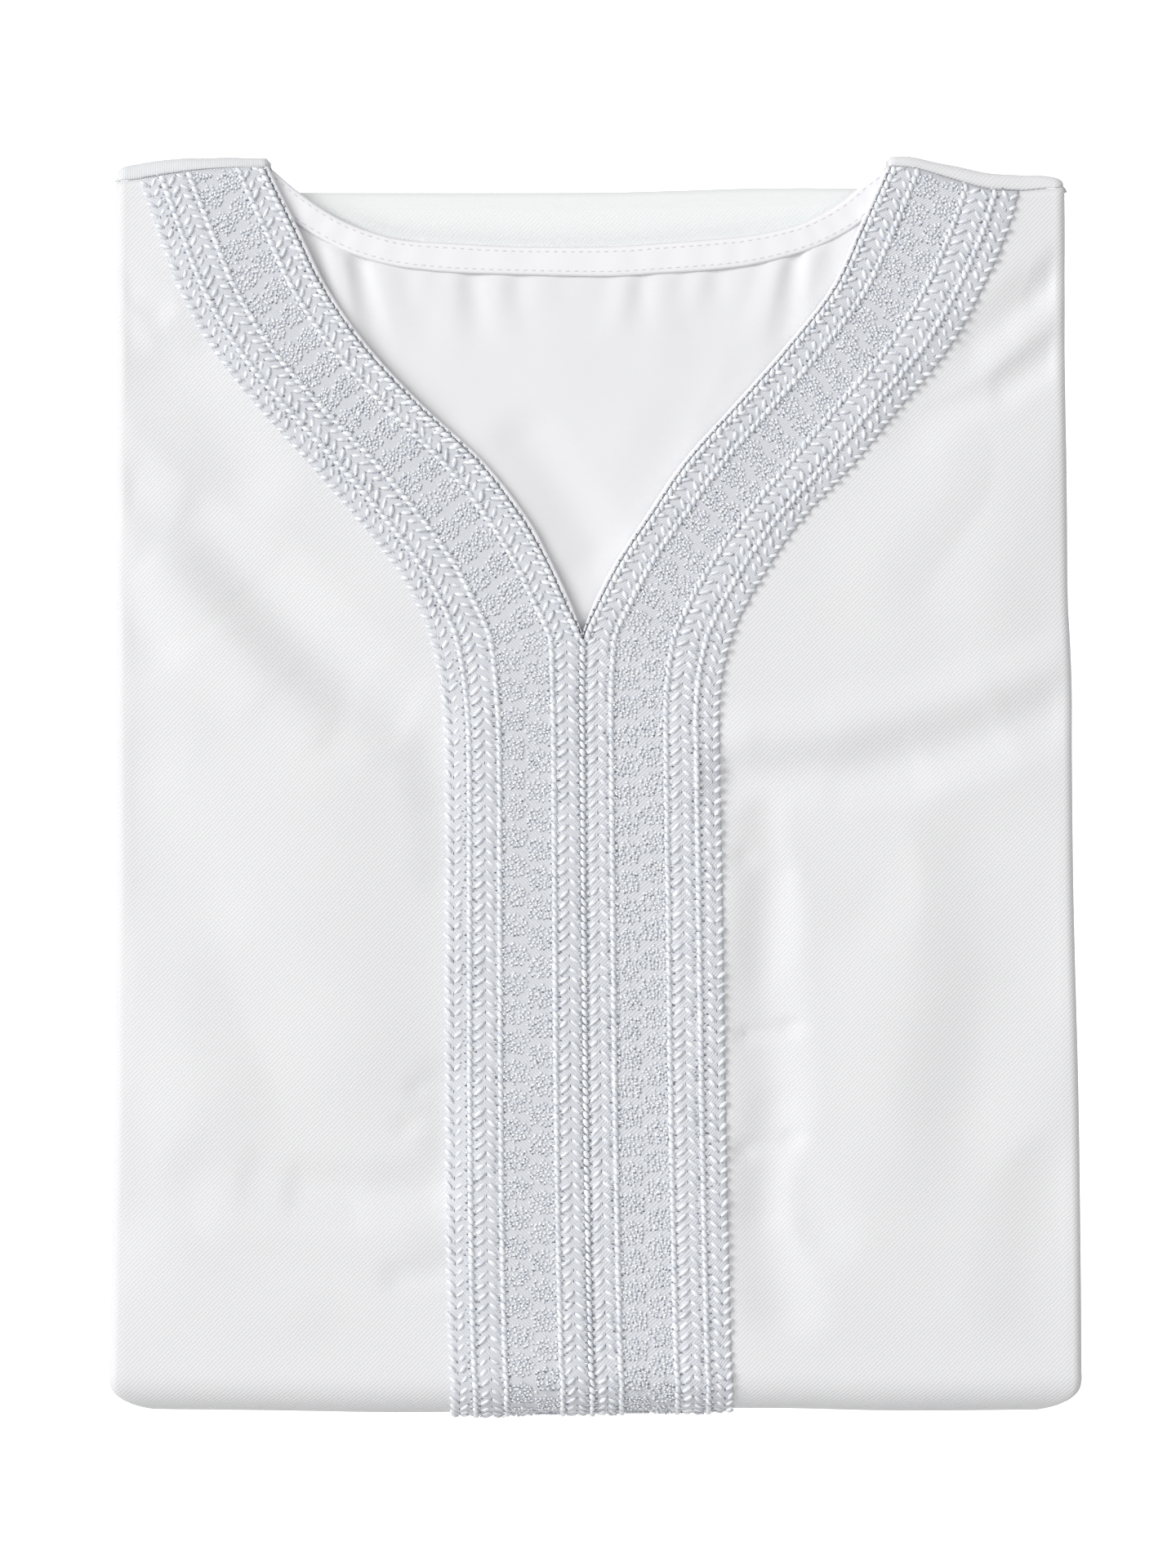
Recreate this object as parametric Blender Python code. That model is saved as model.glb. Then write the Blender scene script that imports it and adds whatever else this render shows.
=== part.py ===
"""A white thobe robe with an embroidered V neck, folded flat as a pile.

The robe is one long slab of cloth layers. It is folded three times, so from above the pile is upper body,
hem part, lower body and, on the underside, the middle of the front. Y runs towards the neck and Z is up.
Sizes are in millimetres and turn to metres where each mesh is made.
"""
import math

import bmesh
import bpy

MM = 0.001
MIDDLE_Y = -0.6

# The folded slab
SLAB = 6.0
PILE = 4 * SLAB
FOLD_RADIUS = PILE / 2
SLIT = 0.2
BACK_FOLD_Y = 175.3
SIDE_ROLL = 2.8
CORNER_PINCH = 11.0
NESTED_PINCH = 1.8
PINCH_POWER = 4.5

# Cloth walls and the gaps between sewn pieces
CLOTH = 1.2
SEAM_GAP = 0.3
HALF_GAP = SEAM_GAP / 2
TIP_GAP = 1.1
EDGING_GAP = 0.4
LAYER_ROOM = 0.7
ROLL_ROOM = 1.0

# Neck parts
BACK_HEIGHT = 20.9
FACING_CLOTH = 0.9
FACING_CROWN = 0.2
EDGING_PROUD = 0.9
EDGING_BELOW = 0.1
NECK_CORE_HEIGHT = 19.3
BAND_END_ANGLE = 150.0
BACK_PANEL_LOW_Y = 28.0

# Outline of the front, a row for each section across the pile. The neck columns are the sewn edge.
OUTLINE_COLUMNS = ("y", "left_side", "left_band", "left_neck", "right_neck", "right_band", "right_side")
OUTLINE = (
    (192.0, -146.6, -141.5, -102.5, 92.0, 132.5, 143.6),
    (186.6, -146.7, -140.0, -100.2, 89.3, 131.3, 143.7),
    (169.1, -146.8, -134.2, -91.7, 81.4, 126.5, 143.8),
    (151.6, -146.8, -127.7, -83.1, 73.2, 118.8, 143.8),
    (134.1, -146.8, -118.2, -70.9, 59.6, 109.2, 143.8),
    (116.6, -146.8, -104.5, -54.7, 44.2, 94.8, 144.0),
    (99.1, -146.8, -88.8, -35.9, 28.5, 80.5, 144.3),
    (81.6, -146.8, -73.5, -22.4, 16.5, 64.2, 144.5),
    (68.6, -146.8, -63.0, -14.9, 7.8, 54.8, 144.6),
    (55.4, -146.8, -55.2, -8.9, 0.9, 47.0, 144.8),
    (44.1, -146.8, -50.7, -3.9, -3.9, 42.0, 145.4),
    (27.9, -146.8, -47.5, -4.05, -4.05, 38.8, 146.0),
    (10.4, -146.8, -46.3, -3.95, -3.95, 38.6, 146.0),
    (-34.6, -146.8, -46.2, -3.6, -3.6, 39.4, 146.5),
    (-94.6, -147.2, -46.2, -3.0, -3.0, 40.3, 148.0),
    (-147.1, -148.2, -45.8, -2.1, -2.1, 41.4, 148.7),
    (-194.0, -149.0, -44.6, -0.9, -0.9, 42.6, 149.0),
)
NECK_TIP_Y = 44.1

# Free edge of the neck opening, level with the outside of the rolled edging
OPENING_COLUMNS = ("y", "left", "right")
OPENING = (
    (192.0, -101.1, 90.5),
    (186.6, -98.8, 87.8),
    (169.1, -90.2, 79.8),
    (151.6, -81.6, 71.6),
    (134.1, -69.3, 57.8),
    (116.6, -53.1, 42.4),
    (99.1, -34.2, 26.7),
    (81.6, -20.6, 14.8),
    (68.6, -13.5, 6.2),
    (57.4, -8.2, 0.2),
    (46.9, -4.0, -4.0),
)
OPENING_TIP_Y = 46.9

# Shoulders: the seam on the front and the outer edge above it
SHOULDER_COLUMNS = ("x", "seam_y", "edge_y")
SHOULDER = (
    (-150.0, 184.6, 188.0),
    (-142.0, 185.1, 190.0),
    (-129.5, 186.9, 191.8),
    (-117.8, 188.4, 192.1),
    (-102.8, 189.1, 192.1),
    (-98.0, 189.0, 191.9),
    (88.0, 189.3, 192.3),
    (94.2, 189.0, 192.7),
    (99.2, 188.2, 192.0),
    (107.8, 185.6, 190.1),
    (120.0, 182.1, 187.6),
    (130.0, 181.9, 186.9),
    (138.8, 182.4, 186.6),
    (150.0, 180.9, 184.0),
)
LEFT_STRIP_ENDS = (-146.2, -99.6)
RIGHT_STRIP_ENDS = (89.2, 143.2)

# Back-neck facing: its upper edge is the neck edge of the back, its lower edge is sewn down
FACING_COLUMNS = ("upper_x", "upper_y", "lower_x", "lower_y")
FACING = (
    (-99.0, 188.6, -104.0, 183.0),
    (-91.2, 181.9, -96.5, 175.5),
    (-81.0, 174.9, -85.5, 167.9),
    (-71.5, 170.4, -74.0, 162.4),
    (-59.5, 167.1, -61.0, 158.8),
    (-43.5, 165.9, -44.0, 156.9),
    (-23.5, 164.9, -23.5, 156.2),
    (3.8, 164.9, 3.8, 155.7),
    (19.8, 165.9, 19.9, 156.6),
    (35.5, 167.1, 36.2, 157.7),
    (47.5, 168.3, 49.0, 159.4),
    (59.5, 170.8, 63.0, 163.0),
    (67.5, 173.9, 72.0, 166.6),
    (75.5, 178.6, 80.5, 171.6),
    (82.5, 184.5, 88.0, 178.0),
    (88.6, 188.9, 93.5, 183.0),
)

# Straight edges that are not quite straight: the bottom fold and the hem that shows behind the neck
EDGE_COLUMNS = ("x", "bottom_y", "hem_y")
EDGES = (
    (-149.0, -191.8, 181.9),
    (-100.0, -192.3, 181.9),
    (-60.0, -192.9, 181.9),
    (-20.0, -192.4, 181.9),
    (10.0, -191.9, 182.1),
    (55.0, -191.6, 183.4),
    (95.0, -192.4, 183.0),
    (149.0, -191.9, 182.6),
)

# Largest creases of the front: a soft trough along each line, with its half width and depth
# Columns: x1, y1, x2, y2, half width, depth.
CREASES = (
    (-136.0, 84.0, -106.0, 64.0, 11.0, 1.2),
    (-106.0, 64.0, -86.0, 35.0, 12.0, 1.4),
    (-86.0, 35.0, -52.0, 16.0, 12.0, 1.1),
    (48.0, 7.0, 84.0, 13.0, 15.0, 1.2),
    (84.0, 13.0, 140.0, 29.0, 14.0, 1.1),
    (96.0, 98.0, 140.0, 134.0, 13.0, 0.9),
    (-108.0, -119.0, -54.0, -130.0, 15.0, 1.0),
    (50.0, -78.0, 62.0, -74.0, 6.0, 0.7),
    (112.0, -45.0, 126.0, -60.0, 20.0, 0.8),
)

# Gathers below the facing: a soft ridge at each place across, from the seam down
# Columns: x, length, half width, height.
GATHERS = (
    (-79.0, 26.0, 4.5, 0.7),
    (-69.0, 30.0, 4.5, 0.8),
    (-57.0, 16.0, 4.0, 0.5),
    (-46.0, 18.0, 4.0, 0.6),
    (-36.0, 15.0, 3.5, 0.5),
    (-25.0, 20.0, 4.0, 0.6),
    (-13.0, 12.0, 4.0, 0.4),
    (1.0, 16.0, 4.5, 0.5),
    (14.0, 18.0, 4.0, 0.6),
    (26.0, 14.0, 3.5, 0.5),
    (38.0, 14.0, 4.0, 0.4),
    (50.0, 17.0, 4.0, 0.6),
    (58.0, 30.0, 4.0, 0.8),
    (70.0, 24.0, 4.5, 0.7),
)

# Shares of the width of each stretch, from the neck or the centre line out, and the band's height at each
BAND = (
    (0.0, 0.8),
    (0.11, 1.1),
    (0.23, 0.8),
    (0.61, 0.75),
    (0.74, 1.1),
    (1.0, 0.6),
)
PLAIN_SHARES = (0.2, 0.4, 0.6, 0.8, 1.0)
ROLL_ANGLES = (40.0, 80.0, 120.0, 150.0, 180.0)
EDGE_ANGLES = (35.0, 65.0, 90.0)

ROWS_BESIDE_NECK = 12
ROWS_BELOW_NECK = 15
ROWS_OF_FOLD = 9
ROWS_UNDER = 4
ROWS_OF_SMALL_FOLD = 5
FRONT_END_SHARE = 0.02
BACK_SHARES = (1.0, 0.985, 0.955, 0.925, 0.88, 0.82, 0.74, 0.55, 0.28, 0.0)
BACK_NECK_COLUMNS = 30
CORE_TOP_SHARES = (1.0, 0.97, 0.85, 0.7, 0.56, 0.545, 0.4, 0.27, 0.13, 0.0)
CORE_STEP_SHARE = 0.55
CORE_INNER_SHARES = (0.021, 0.024, 0.034, 0.35, 0.7, 1.0)
HEM_ROUNDING = ((0.985, 0.0), (0.9925, 0.5), (1.0, 1.5))
BLUNT_EDGE = 0.25
EDGE_SQUEEZE = 0.95

WHITE_CLOTH = (0.86, 0.85, 0.85, 1.0)
INNER_CLOTH = (0.84, 0.84, 0.86, 1.0)
FACING_WHITE = (0.88, 0.87, 0.89, 1.0)
EMBROIDERY_SILVER = (0.63, 0.66, 0.74, 1.0)
EDGING_WHITE = (0.90, 0.90, 0.92, 1.0)


def smooth_value(rows, columns, key, name, at):
    """A named column of a table as a smooth curve of its key column."""
    key_column = columns.index(key)
    value_column = columns.index(name)
    points = sorted((row[key_column], row[value_column]) for row in rows)
    if at <= points[0][0]:
        return points[0][1]
    if at >= points[-1][0]:
        return points[-1][1]
    last = len(points) - 1
    i = next(n for n in range(last) if points[n + 1][0] >= at)

    def slope(n):
        before, after = max(n - 1, 0), min(n + 1, last)
        return (points[after][1] - points[before][1]) / (points[after][0] - points[before][0])

    (x0, v0), (x1, v1) = points[i], points[i + 1]
    span = x1 - x0
    t = (at - x0) / span
    start = v0 * (1 + 2 * t) * (1 - t) ** 2 + slope(i) * span * t * (1 - t) ** 2
    end = v1 * t * t * (3 - 2 * t) - slope(i + 1) * span * t * t * (1 - t)
    return start + end


def outline(name, y):
    return smooth_value(OUTLINE, OUTLINE_COLUMNS, "y", name, y)


def opening(name, y):
    return smooth_value(OPENING, OPENING_COLUMNS, "y", name, y)


def shoulder(name, x):
    return smooth_value(SHOULDER, SHOULDER_COLUMNS, "x", name, x)


def turn_y(x):
    """Where the flat cloth starts to turn round the bottom fold."""
    return smooth_value(EDGES, EDGE_COLUMNS, "x", "bottom_y", x) + FOLD_RADIUS


def hem_y(x):
    return smooth_value(EDGES, EDGE_COLUMNS, "x", "hem_y", x)


def ease(t):
    t = min(max(t, 0.0), 1.0)
    return t * t * (3 - 2 * t)


def mix(a, b, t):
    return a + (b - a) * t


def crease_depth(x, y):
    """Depth of the soft troughs at a place. Troughs that meet end to end don't add up."""
    deepest = 0.0
    for x1, y1, x2, y2, half_width, depth in CREASES:
        length_squared = (x2 - x1) ** 2 + (y2 - y1) ** 2
        t = min(max(((x - x1) * (x2 - x1) + (y - y1) * (y2 - y1)) / length_squared, 0.0), 1.0)
        away = math.hypot(x - mix(x1, x2, t), y - mix(y1, y2, t))
        deepest = max(deepest, depth * ease(1 - away / (1.6 * half_width)))
    return deepest


def top_height(x, y):
    """Outer face of the front on top of the pile."""
    side = min(x - outline("left_side", y), outline("right_side", y) - x)
    fall = 0.9 * (1 - ease(side / 26.0)) * ease((y - turn_y(x)) / 40.0)
    creases = crease_depth(x, y) * ease((y - turn_y(x)) / 20.0) * ease(side / 9.0)
    over_edge = y - (shoulder("edge_y", x) - SIDE_ROLL)
    roll_off = 0.0
    if over_edge > 0:
        roll_off = SIDE_ROLL - math.sqrt(SIDE_ROLL ** 2 - min(over_edge, 0.9 * SIDE_ROLL) ** 2)
    return PILE - fall - creases - roll_off


def roll_squash(height):
    """How flat the rolled edges of the top layer lie, so that they end just above the layer below."""
    return (height - (PILE - SLAB + 2 * SLIT)) / (2 * SIDE_ROLL)


def point_in_fold(run, place, depth, x, y=0.0):
    """A point at a depth in the folded slab, 0 on the side that is outermost on top of the pile.

    top: the upper body. turn: round the bottom fold. under: the underside. back_turn: round the fold
    behind. inner: the third layer. nested_turn: round the fold inside the first. hem: the second layer.
    """
    if run == "top":
        return x, y, top_height(x, y) - depth
    if run == "turn":
        radius = FOLD_RADIUS - depth
        return x, turn_y(x) - radius * math.sin(place), FOLD_RADIUS + radius * math.cos(place)
    if run == "under":
        return x, mix(turn_y(x), BACK_FOLD_Y, place), depth
    if run == "back_turn":
        radius = SLAB - depth
        return x, BACK_FOLD_Y + radius * math.sin(place), SLAB - radius * math.cos(place)
    if run == "inner":
        return x, mix(BACK_FOLD_Y, turn_y(x), place), 2 * SLAB - depth
    if run == "nested_turn":
        return x, turn_y(x) - depth * math.sin(place), 2 * SLAB - depth * math.cos(place)
    return x, mix(turn_y(x), hem_y(x), place), 2 * SLAB + depth


def side_of_slab(run, place, y, side):
    """X of the slab's long side, left (-1) or right (1), with the corners of each fold pinched in."""
    name = "left_side" if side < 0 else "right_side"
    low = -PILE * 8
    if run == "top":
        return outline(name, y)
    if run == "turn":
        return outline(name, low) - side * CORNER_PINCH * math.sin(place) ** PINCH_POWER
    if run == "under":
        inset = 0.6 * ease(place * 4)
        return outline(name, mix(low, BACK_FOLD_Y, place)) - side * inset
    if run == "back_turn":
        return outline(name, BACK_FOLD_Y) - side * (0.6 + NESTED_PINCH * math.sin(place) ** PINCH_POWER)
    if run == "inner":
        return outline(name, mix(BACK_FOLD_Y, low, place)) - side * 1.4
    if run == "nested_turn":
        return outline(name, low) - side * (1.4 + NESTED_PINCH * math.sin(place) ** PINCH_POWER)
    return outline(name, mix(low, BACK_FOLD_Y, place)) - side * 1.0


def fold_rows(count, last_angle=180.0):
    return [math.radians(last_angle) * n / count for n in range(1, count + 1)]


def front_rows():
    """Rows of the front panel from the shoulder down: a run, a place in it, and a share beside the neck."""
    rows = []
    for n in range(ROWS_BESIDE_NECK):
        rows.append(("neck", (1 - n / ROWS_BESIDE_NECK) ** 1.1))
    rows.append(("tip", 0.0))
    for n in range(1, ROWS_BELOW_NECK + 1):
        rows.append(("below", n / ROWS_BELOW_NECK))
    rows += [("turn", angle) for angle in fold_rows(ROWS_OF_FOLD)]
    rows += [("under", n / ROWS_UNDER) for n in range(1, ROWS_UNDER + 1)]
    rows += [("back_turn", angle) for angle in fold_rows(ROWS_OF_SMALL_FOLD)]
    rows.append(("inner", FRONT_END_SHARE))
    return rows


def front_columns():
    """Columns of one half of the front from the neck or centre line out: a kind and a share or angle."""
    columns = [("band", share) for share, height in BAND]
    columns += [("plain", share) for share in PLAIN_SHARES]
    columns += [("roll", math.radians(angle)) for angle in ROLL_ANGLES]
    return columns


def across(column, side, run, place, y, offset):
    """X and depth of a column of the sheet at an offset from its outer face, negative outwards."""
    name = "left" if side < 0 else "right"
    kind, value = column
    low = -PILE * 8
    own_y = y
    if run == "turn":
        own_y = low
    elif run in ("under", "back_turn", "inner"):
        own_y = mix(low, BACK_FOLD_Y, place) if run == "under" else BACK_FOLD_Y
    centre_y = min(own_y, NECK_TIP_Y) if run != "top" else own_y
    neck = outline(name + "_neck", centre_y)
    band = outline(name + "_band", centre_y if run == "top" else min(centre_y, 0.0))
    roll_centre = side_of_slab(run, place, y, side) - side * SIDE_ROLL
    if kind == "band":
        return mix(neck, band, value), offset
    if kind == "plain":
        return mix(band, roll_centre, value), offset
    radius = SIDE_ROLL - offset
    return roll_centre + side * radius * math.sin(value), SIDE_ROLL - radius * math.cos(value)


def top_edge_y(column, side):
    """Height up the sheet at which a column of the front meets the shoulder seam."""
    y = 186.0
    for step in range(4):
        x, depth = across(column, side, "top", 0.0, y, 0.0)
        y = shoulder("seam_y", x)
    return y


def front_point(row, column, side, offset):
    """A point of the front, at an offset inwards from its outer face."""
    kind, value = row
    if kind in ("neck", "tip", "below"):
        if kind == "below":
            x, depth = across(column, side, "top", 0.0, NECK_TIP_Y, offset)
            y = mix(NECK_TIP_Y, turn_y(x), value)
        else:
            y = mix(NECK_TIP_Y, top_edge_y(column, side), value)
        x, depth = across(column, side, "top", 0.0, y, offset)
        if column[0] != "roll":
            return x, y, top_height(x, y) - depth
        height = top_height(across(("plain", 1.0), side, "top", 0.0, y, 0.0)[0], y)
        return x, y, height - depth * roll_squash(height)
    x, depth = across(column, side, kind, value, 0.0, offset)
    return point_in_fold(kind, value, depth, x)


def in_metres(point):
    """A point of the pattern in metres, with the origin at the middle of the pile's footprint."""
    x, y, z = point
    return x * MM, (y - MIDDLE_Y) * MM, z * MM


def closed_mesh(outer, inner, faces):
    """Close two matching point sheets into one body along every free edge of the faces."""
    mesh = bmesh.new()
    outer_verts = {key: mesh.verts.new(in_metres(point)) for key, point in outer.items()}
    inner_verts = {key: mesh.verts.new(in_metres(point)) for key, point in inner.items()}
    edge_uses = {}
    for face in faces:
        mesh.faces.new([outer_verts[key] for key in face])
        mesh.faces.new([inner_verts[key] for key in reversed(face)])
        for n, key in enumerate(face):
            after = face[(n + 1) % len(face)]
            edge_uses.setdefault(frozenset((key, after)), []).append((key, after))
    for uses in edge_uses.values():
        if len(uses) == 1:
            a, b = uses[0]
            mesh.faces.new((outer_verts[b], outer_verts[a], inner_verts[a], inner_verts[b]))
    return mesh


def grid_faces(row_count, column_keys):
    """Quads between neighbouring rows, where column_keys(row) lists the keys across that row."""
    faces = []
    for r in range(row_count - 1):
        above, below = column_keys(r), column_keys(r + 1)
        for c in range(len(above) - 1):
            faces.append((above[c], below[c], below[c + 1], above[c + 1]))
    return faces


def add_object(name, mesh, material):
    """Turn a bmesh into a named object with faces pointing out and soft shading."""
    bmesh.ops.recalc_face_normals(mesh, faces=mesh.faces)
    data = bpy.data.meshes.new(name)
    mesh.to_mesh(data)
    mesh.free()
    data.shade_smooth()
    data.set_sharp_from_angle(angle=math.radians(50))
    data.materials.append(material)
    item = bpy.data.objects.new(name, data)
    bpy.context.scene.collection.objects.link(item)
    return item


def make_material(name, colour, roughness):
    material = bpy.data.materials.new(name)
    material.use_nodes = True
    shader = material.node_tree.nodes["Principled BSDF"]
    shader.inputs["Base Color"].default_value = colour
    shader.inputs["Roughness"].default_value = roughness
    shader.inputs["Metallic"].default_value = 0.0
    return material


def make_front_panel(material):
    """The front: one sheet from the shoulders round the bottom fold and the underside, slit for the V."""
    rows, columns = front_rows(), front_columns()
    beside_neck = ROWS_BESIDE_NECK
    sheets = []
    for offset in (0.0, CLOTH):
        points = {}
        for r, row in enumerate(rows):
            for c, column in enumerate(columns):
                for side in (-1, 1):
                    centre = 0 if c == 0 and r >= beside_neck else side
                    points[(r, c, centre)] = front_point(row, column, side, offset)
        sheets.append(points)

    def half_keys(side):
        def keys(r):
            line = [(r, c, 0 if c == 0 and r >= beside_neck else side) for c in range(len(columns))]
            return line if side > 0 else list(reversed(line))
        return keys

    faces = grid_faces(len(rows), half_keys(-1)) + grid_faces(len(rows), half_keys(1))
    return add_object("front_panel", closed_mesh(sheets[0], sheets[1], faces), material)


def make_band(name, side, material):
    """Embroidered band: the front's own points beside the neck and centre line, moved out."""
    rows = [row for row in front_rows() if row[0] in ("neck", "tip", "below")]
    rows += [("turn", angle) for angle in fold_rows(ROWS_OF_FOLD)
             if angle <= math.radians(BAND_END_ANGLE)]
    sheets = []
    for lift in (1, 0):
        points = {}
        for r, row in enumerate(rows):
            for c, (share, height) in enumerate(BAND):
                out = SEAM_GAP + lift * height
                x, y, z = front_point(row, ("band", share), side, -out)
                if share == 0.0:
                    x += side * HALF_GAP
                points[(r, c)] = (x, y, z)
        sheets.append(points)
    order = list(range(len(BAND)))
    if side < 0:
        order.reverse()
    faces = grid_faces(len(rows), lambda r: [(r, c) for c in order])
    return add_object(name, closed_mesh(sheets[0], sheets[1], faces), material)


def seam_gather(x, y):
    """Height of the soft ridges that hang from the facing's seam."""
    lower = smooth_value(FACING, FACING_COLUMNS, "lower_x", "lower_y", x)
    below = lower - y - 1.0
    total = 0.0
    for place, length, half_width, height in GATHERS:
        if abs(x - place) < 1.5 * half_width and 0 < below < length:
            run = ease(below / 5.0) * ease((length - below) / (0.8 * length))
            total = max(total, height * ease(1 - abs(x - place) / (1.5 * half_width)) * run)
    return total


def back_top_y(x):
    """Upper edge of the back: the neck scoop, and the shoulders on either side."""
    at_shoulder = shoulder("edge_y", x) - SIDE_ROLL - ROLL_ROOM
    if FACING[0][0] < x < FACING[-1][0]:
        scoop = smooth_value(FACING, FACING_COLUMNS, "upper_x", "upper_y", x) - 0.2
        return min(at_shoulder, scoop)
    return at_shoulder


def back_column_xs():
    """Places across the back: close together behind the neck, wide apart beside it."""
    left, right = FACING[1][0], FACING[-2][0]
    inside_roll = SIDE_ROLL + ROLL_ROOM
    left_side = outline("left_side", 100.0) + inside_roll
    right_side = outline("right_side", 100.0) - inside_roll
    xs = [left_side, mix(left_side, left, 0.55)]
    xs += [mix(left, right, n / BACK_NECK_COLUMNS) for n in range(BACK_NECK_COLUMNS + 1)]
    return xs + [mix(right_side, right, 0.55), right_side]


def make_back_panel(material):
    """Inner face of the back, from side to side behind the neck, with the gathers raised on top."""
    xs = back_column_xs()
    sheets = []
    for top in (True, False):
        points = {}
        for r, share in enumerate(BACK_SHARES):
            for c, x in enumerate(xs):
                y = mix(BACK_PANEL_LOW_Y, back_top_y(x), share)
                z = BACK_HEIGHT + seam_gather(x, y) if top else BACK_HEIGHT - CLOTH
                points[(r, c)] = (x, y, z)
        sheets.append(points)
    faces = grid_faces(len(BACK_SHARES), lambda r: [(r, c) for c in range(len(xs))])
    return add_object("back_panel", closed_mesh(sheets[0], sheets[1], faces), material)


def make_facing(material):
    """Curved strip along the back neck, lying on the back."""
    stretch = 2
    widths = (0.0, 0.5, 1.0)
    last = len(FACING) - 1
    sheets = []
    for top in (True, False):
        points = {}
        for n in range(last * stretch + 1):
            i, t = divmod(n / stretch, 1)
            i = int(i)
            near, far = FACING[i], FACING[min(i + 1, last)]
            for c, width in enumerate(widths):
                x = mix(mix(near[0], far[0], t), mix(near[2], far[2], t), width)
                y = mix(mix(near[1], far[1], t), mix(near[3], far[3], t), width)
                z = BACK_HEIGHT + SEAM_GAP
                if top:
                    z += FACING_CLOTH + FACING_CROWN * (1 - abs(2 * width - 1))
                points[(n, c)] = (x, y, z)
        sheets.append(points)
    faces = grid_faces(last * stretch + 1, lambda r: [(r, c) for c in range(len(widths))])
    return add_object("back_neck_facing", closed_mesh(sheets[0], sheets[1], faces), material)


def make_shoulder_strip(name, ends, material):
    """Back cloth rolled forward over a shoulder, from the seam on the front round to behind."""
    steps = 6
    side = -1 if ends[0] < 0 else 1
    seam_xs = [front_point(("neck", 1.0), column, side, 0.0)[0] for column in front_columns()[:-3]]
    stations = [ends[0]] + sorted(x for x in seam_xs if ends[0] + 1.0 < x < ends[1] - 1.0) + [ends[1]]
    sheets = []
    for offset in (0.0, CLOTH):
        points = {}
        radius = SIDE_ROLL - offset
        for n, x in enumerate(stations):
            centre_y = shoulder("edge_y", x) - SIDE_ROLL
            seam = min(shoulder("seam_y", x) + SEAM_GAP, centre_y - 0.1)
            height = top_height(x, seam)
            points[(n, 0)] = (x, seam, height - offset)
            for s in range(steps + 1):
                angle = math.pi * s / steps
                depth = SIDE_ROLL - radius * math.cos(angle)
                y = centre_y + radius * math.sin(angle)
                points[(n, s + 1)] = (x, y, height - depth * roll_squash(height))
        sheets.append(points)
    faces = grid_faces(len(stations), lambda r: [(r, c) for c in range(steps + 2)])
    return add_object(name, closed_mesh(sheets[0], sheets[1], faces), material)


def make_neck_edging(name, side, material):
    """Rolled edging along one side of the V, a soft bead between the sewn edge and the opening."""
    word = "left" if side < 0 else "right"
    rings = []
    top_y = top_edge_y(("band", 0.0), side)
    for row in reversed([row for row in front_rows() if row[0] in ("neck", "tip")]):
        seam_x, seam_y, height = front_point(row, ("band", 0.0), side, 0.0)
        free_y = mix(OPENING_TIP_Y, top_y, row[1])
        free_x = opening(word, free_y)
        at_tip = row[0] == "tip"
        if at_tip:
            seam_x += side * HALF_GAP
            free_x += side * HALF_GAP
            seam_y += TIP_GAP
        length = math.hypot(free_x - seam_x, free_y - seam_y)
        pull = 0.0 if at_tip else EDGING_GAP / length
        seam = (mix(seam_x, free_x, pull), mix(seam_y, free_y, pull))
        low = height - CLOTH - EDGING_BELOW
        high = height + EDGING_PROUD
        profile = ((0.0, low + 0.2), (0.0, high - 0.3), (0.5, high), (1.0, high - 0.6), (1.0, low + 0.5),
                   (0.5, low))
        rings.append([(mix(seam[0], free_x, w), mix(seam[1], free_y, w), z) for w, z in profile])
    mesh = bmesh.new()
    loops = [[mesh.verts.new(in_metres(point)) for point in ring] for ring in rings]
    count = len(rings[0])
    for near, far in zip(loops, loops[1:]):
        for n in range(count):
            after = (n + 1) % count
            mesh.faces.new((near[n], near[after], far[after], far[n]))
    mesh.faces.new(loops[0])
    mesh.faces.new(list(reversed(loops[-1])))
    return add_object(name, mesh, material)


def core_rows():
    """Rows of the hidden layers, from the shoulders through every fold to the hem."""
    rows = [("top", share) for share in CORE_TOP_SHARES]
    rows += [("turn", angle) for angle in fold_rows(ROWS_OF_FOLD)]
    rows += [("under", n / ROWS_UNDER) for n in range(1, ROWS_UNDER + 1)]
    rows += [("back_turn", angle) for angle in fold_rows(ROWS_OF_SMALL_FOLD)]
    rows += [("inner", share) for share in CORE_INNER_SHARES]
    rows += [("nested_turn", angle) for angle in fold_rows(ROWS_OF_SMALL_FOLD)]
    rows += [("hem", share) for share in (0.3, 0.6, 0.9)]
    rows += [("hem", share) for share, tuck in HEM_ROUNDING]
    return rows


def core_top_height(x, y, place):
    """Upper face of the hidden layers inside the upper body, low under the back panel."""
    if place > CORE_STEP_SHARE:
        return NECK_CORE_HEIGHT
    settled = ease((y - turn_y(x)) / 8.0)
    return mix(PILE - CLOTH - SEAM_GAP, top_height(x, y) - CLOTH - LAYER_ROOM, settled)


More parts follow.
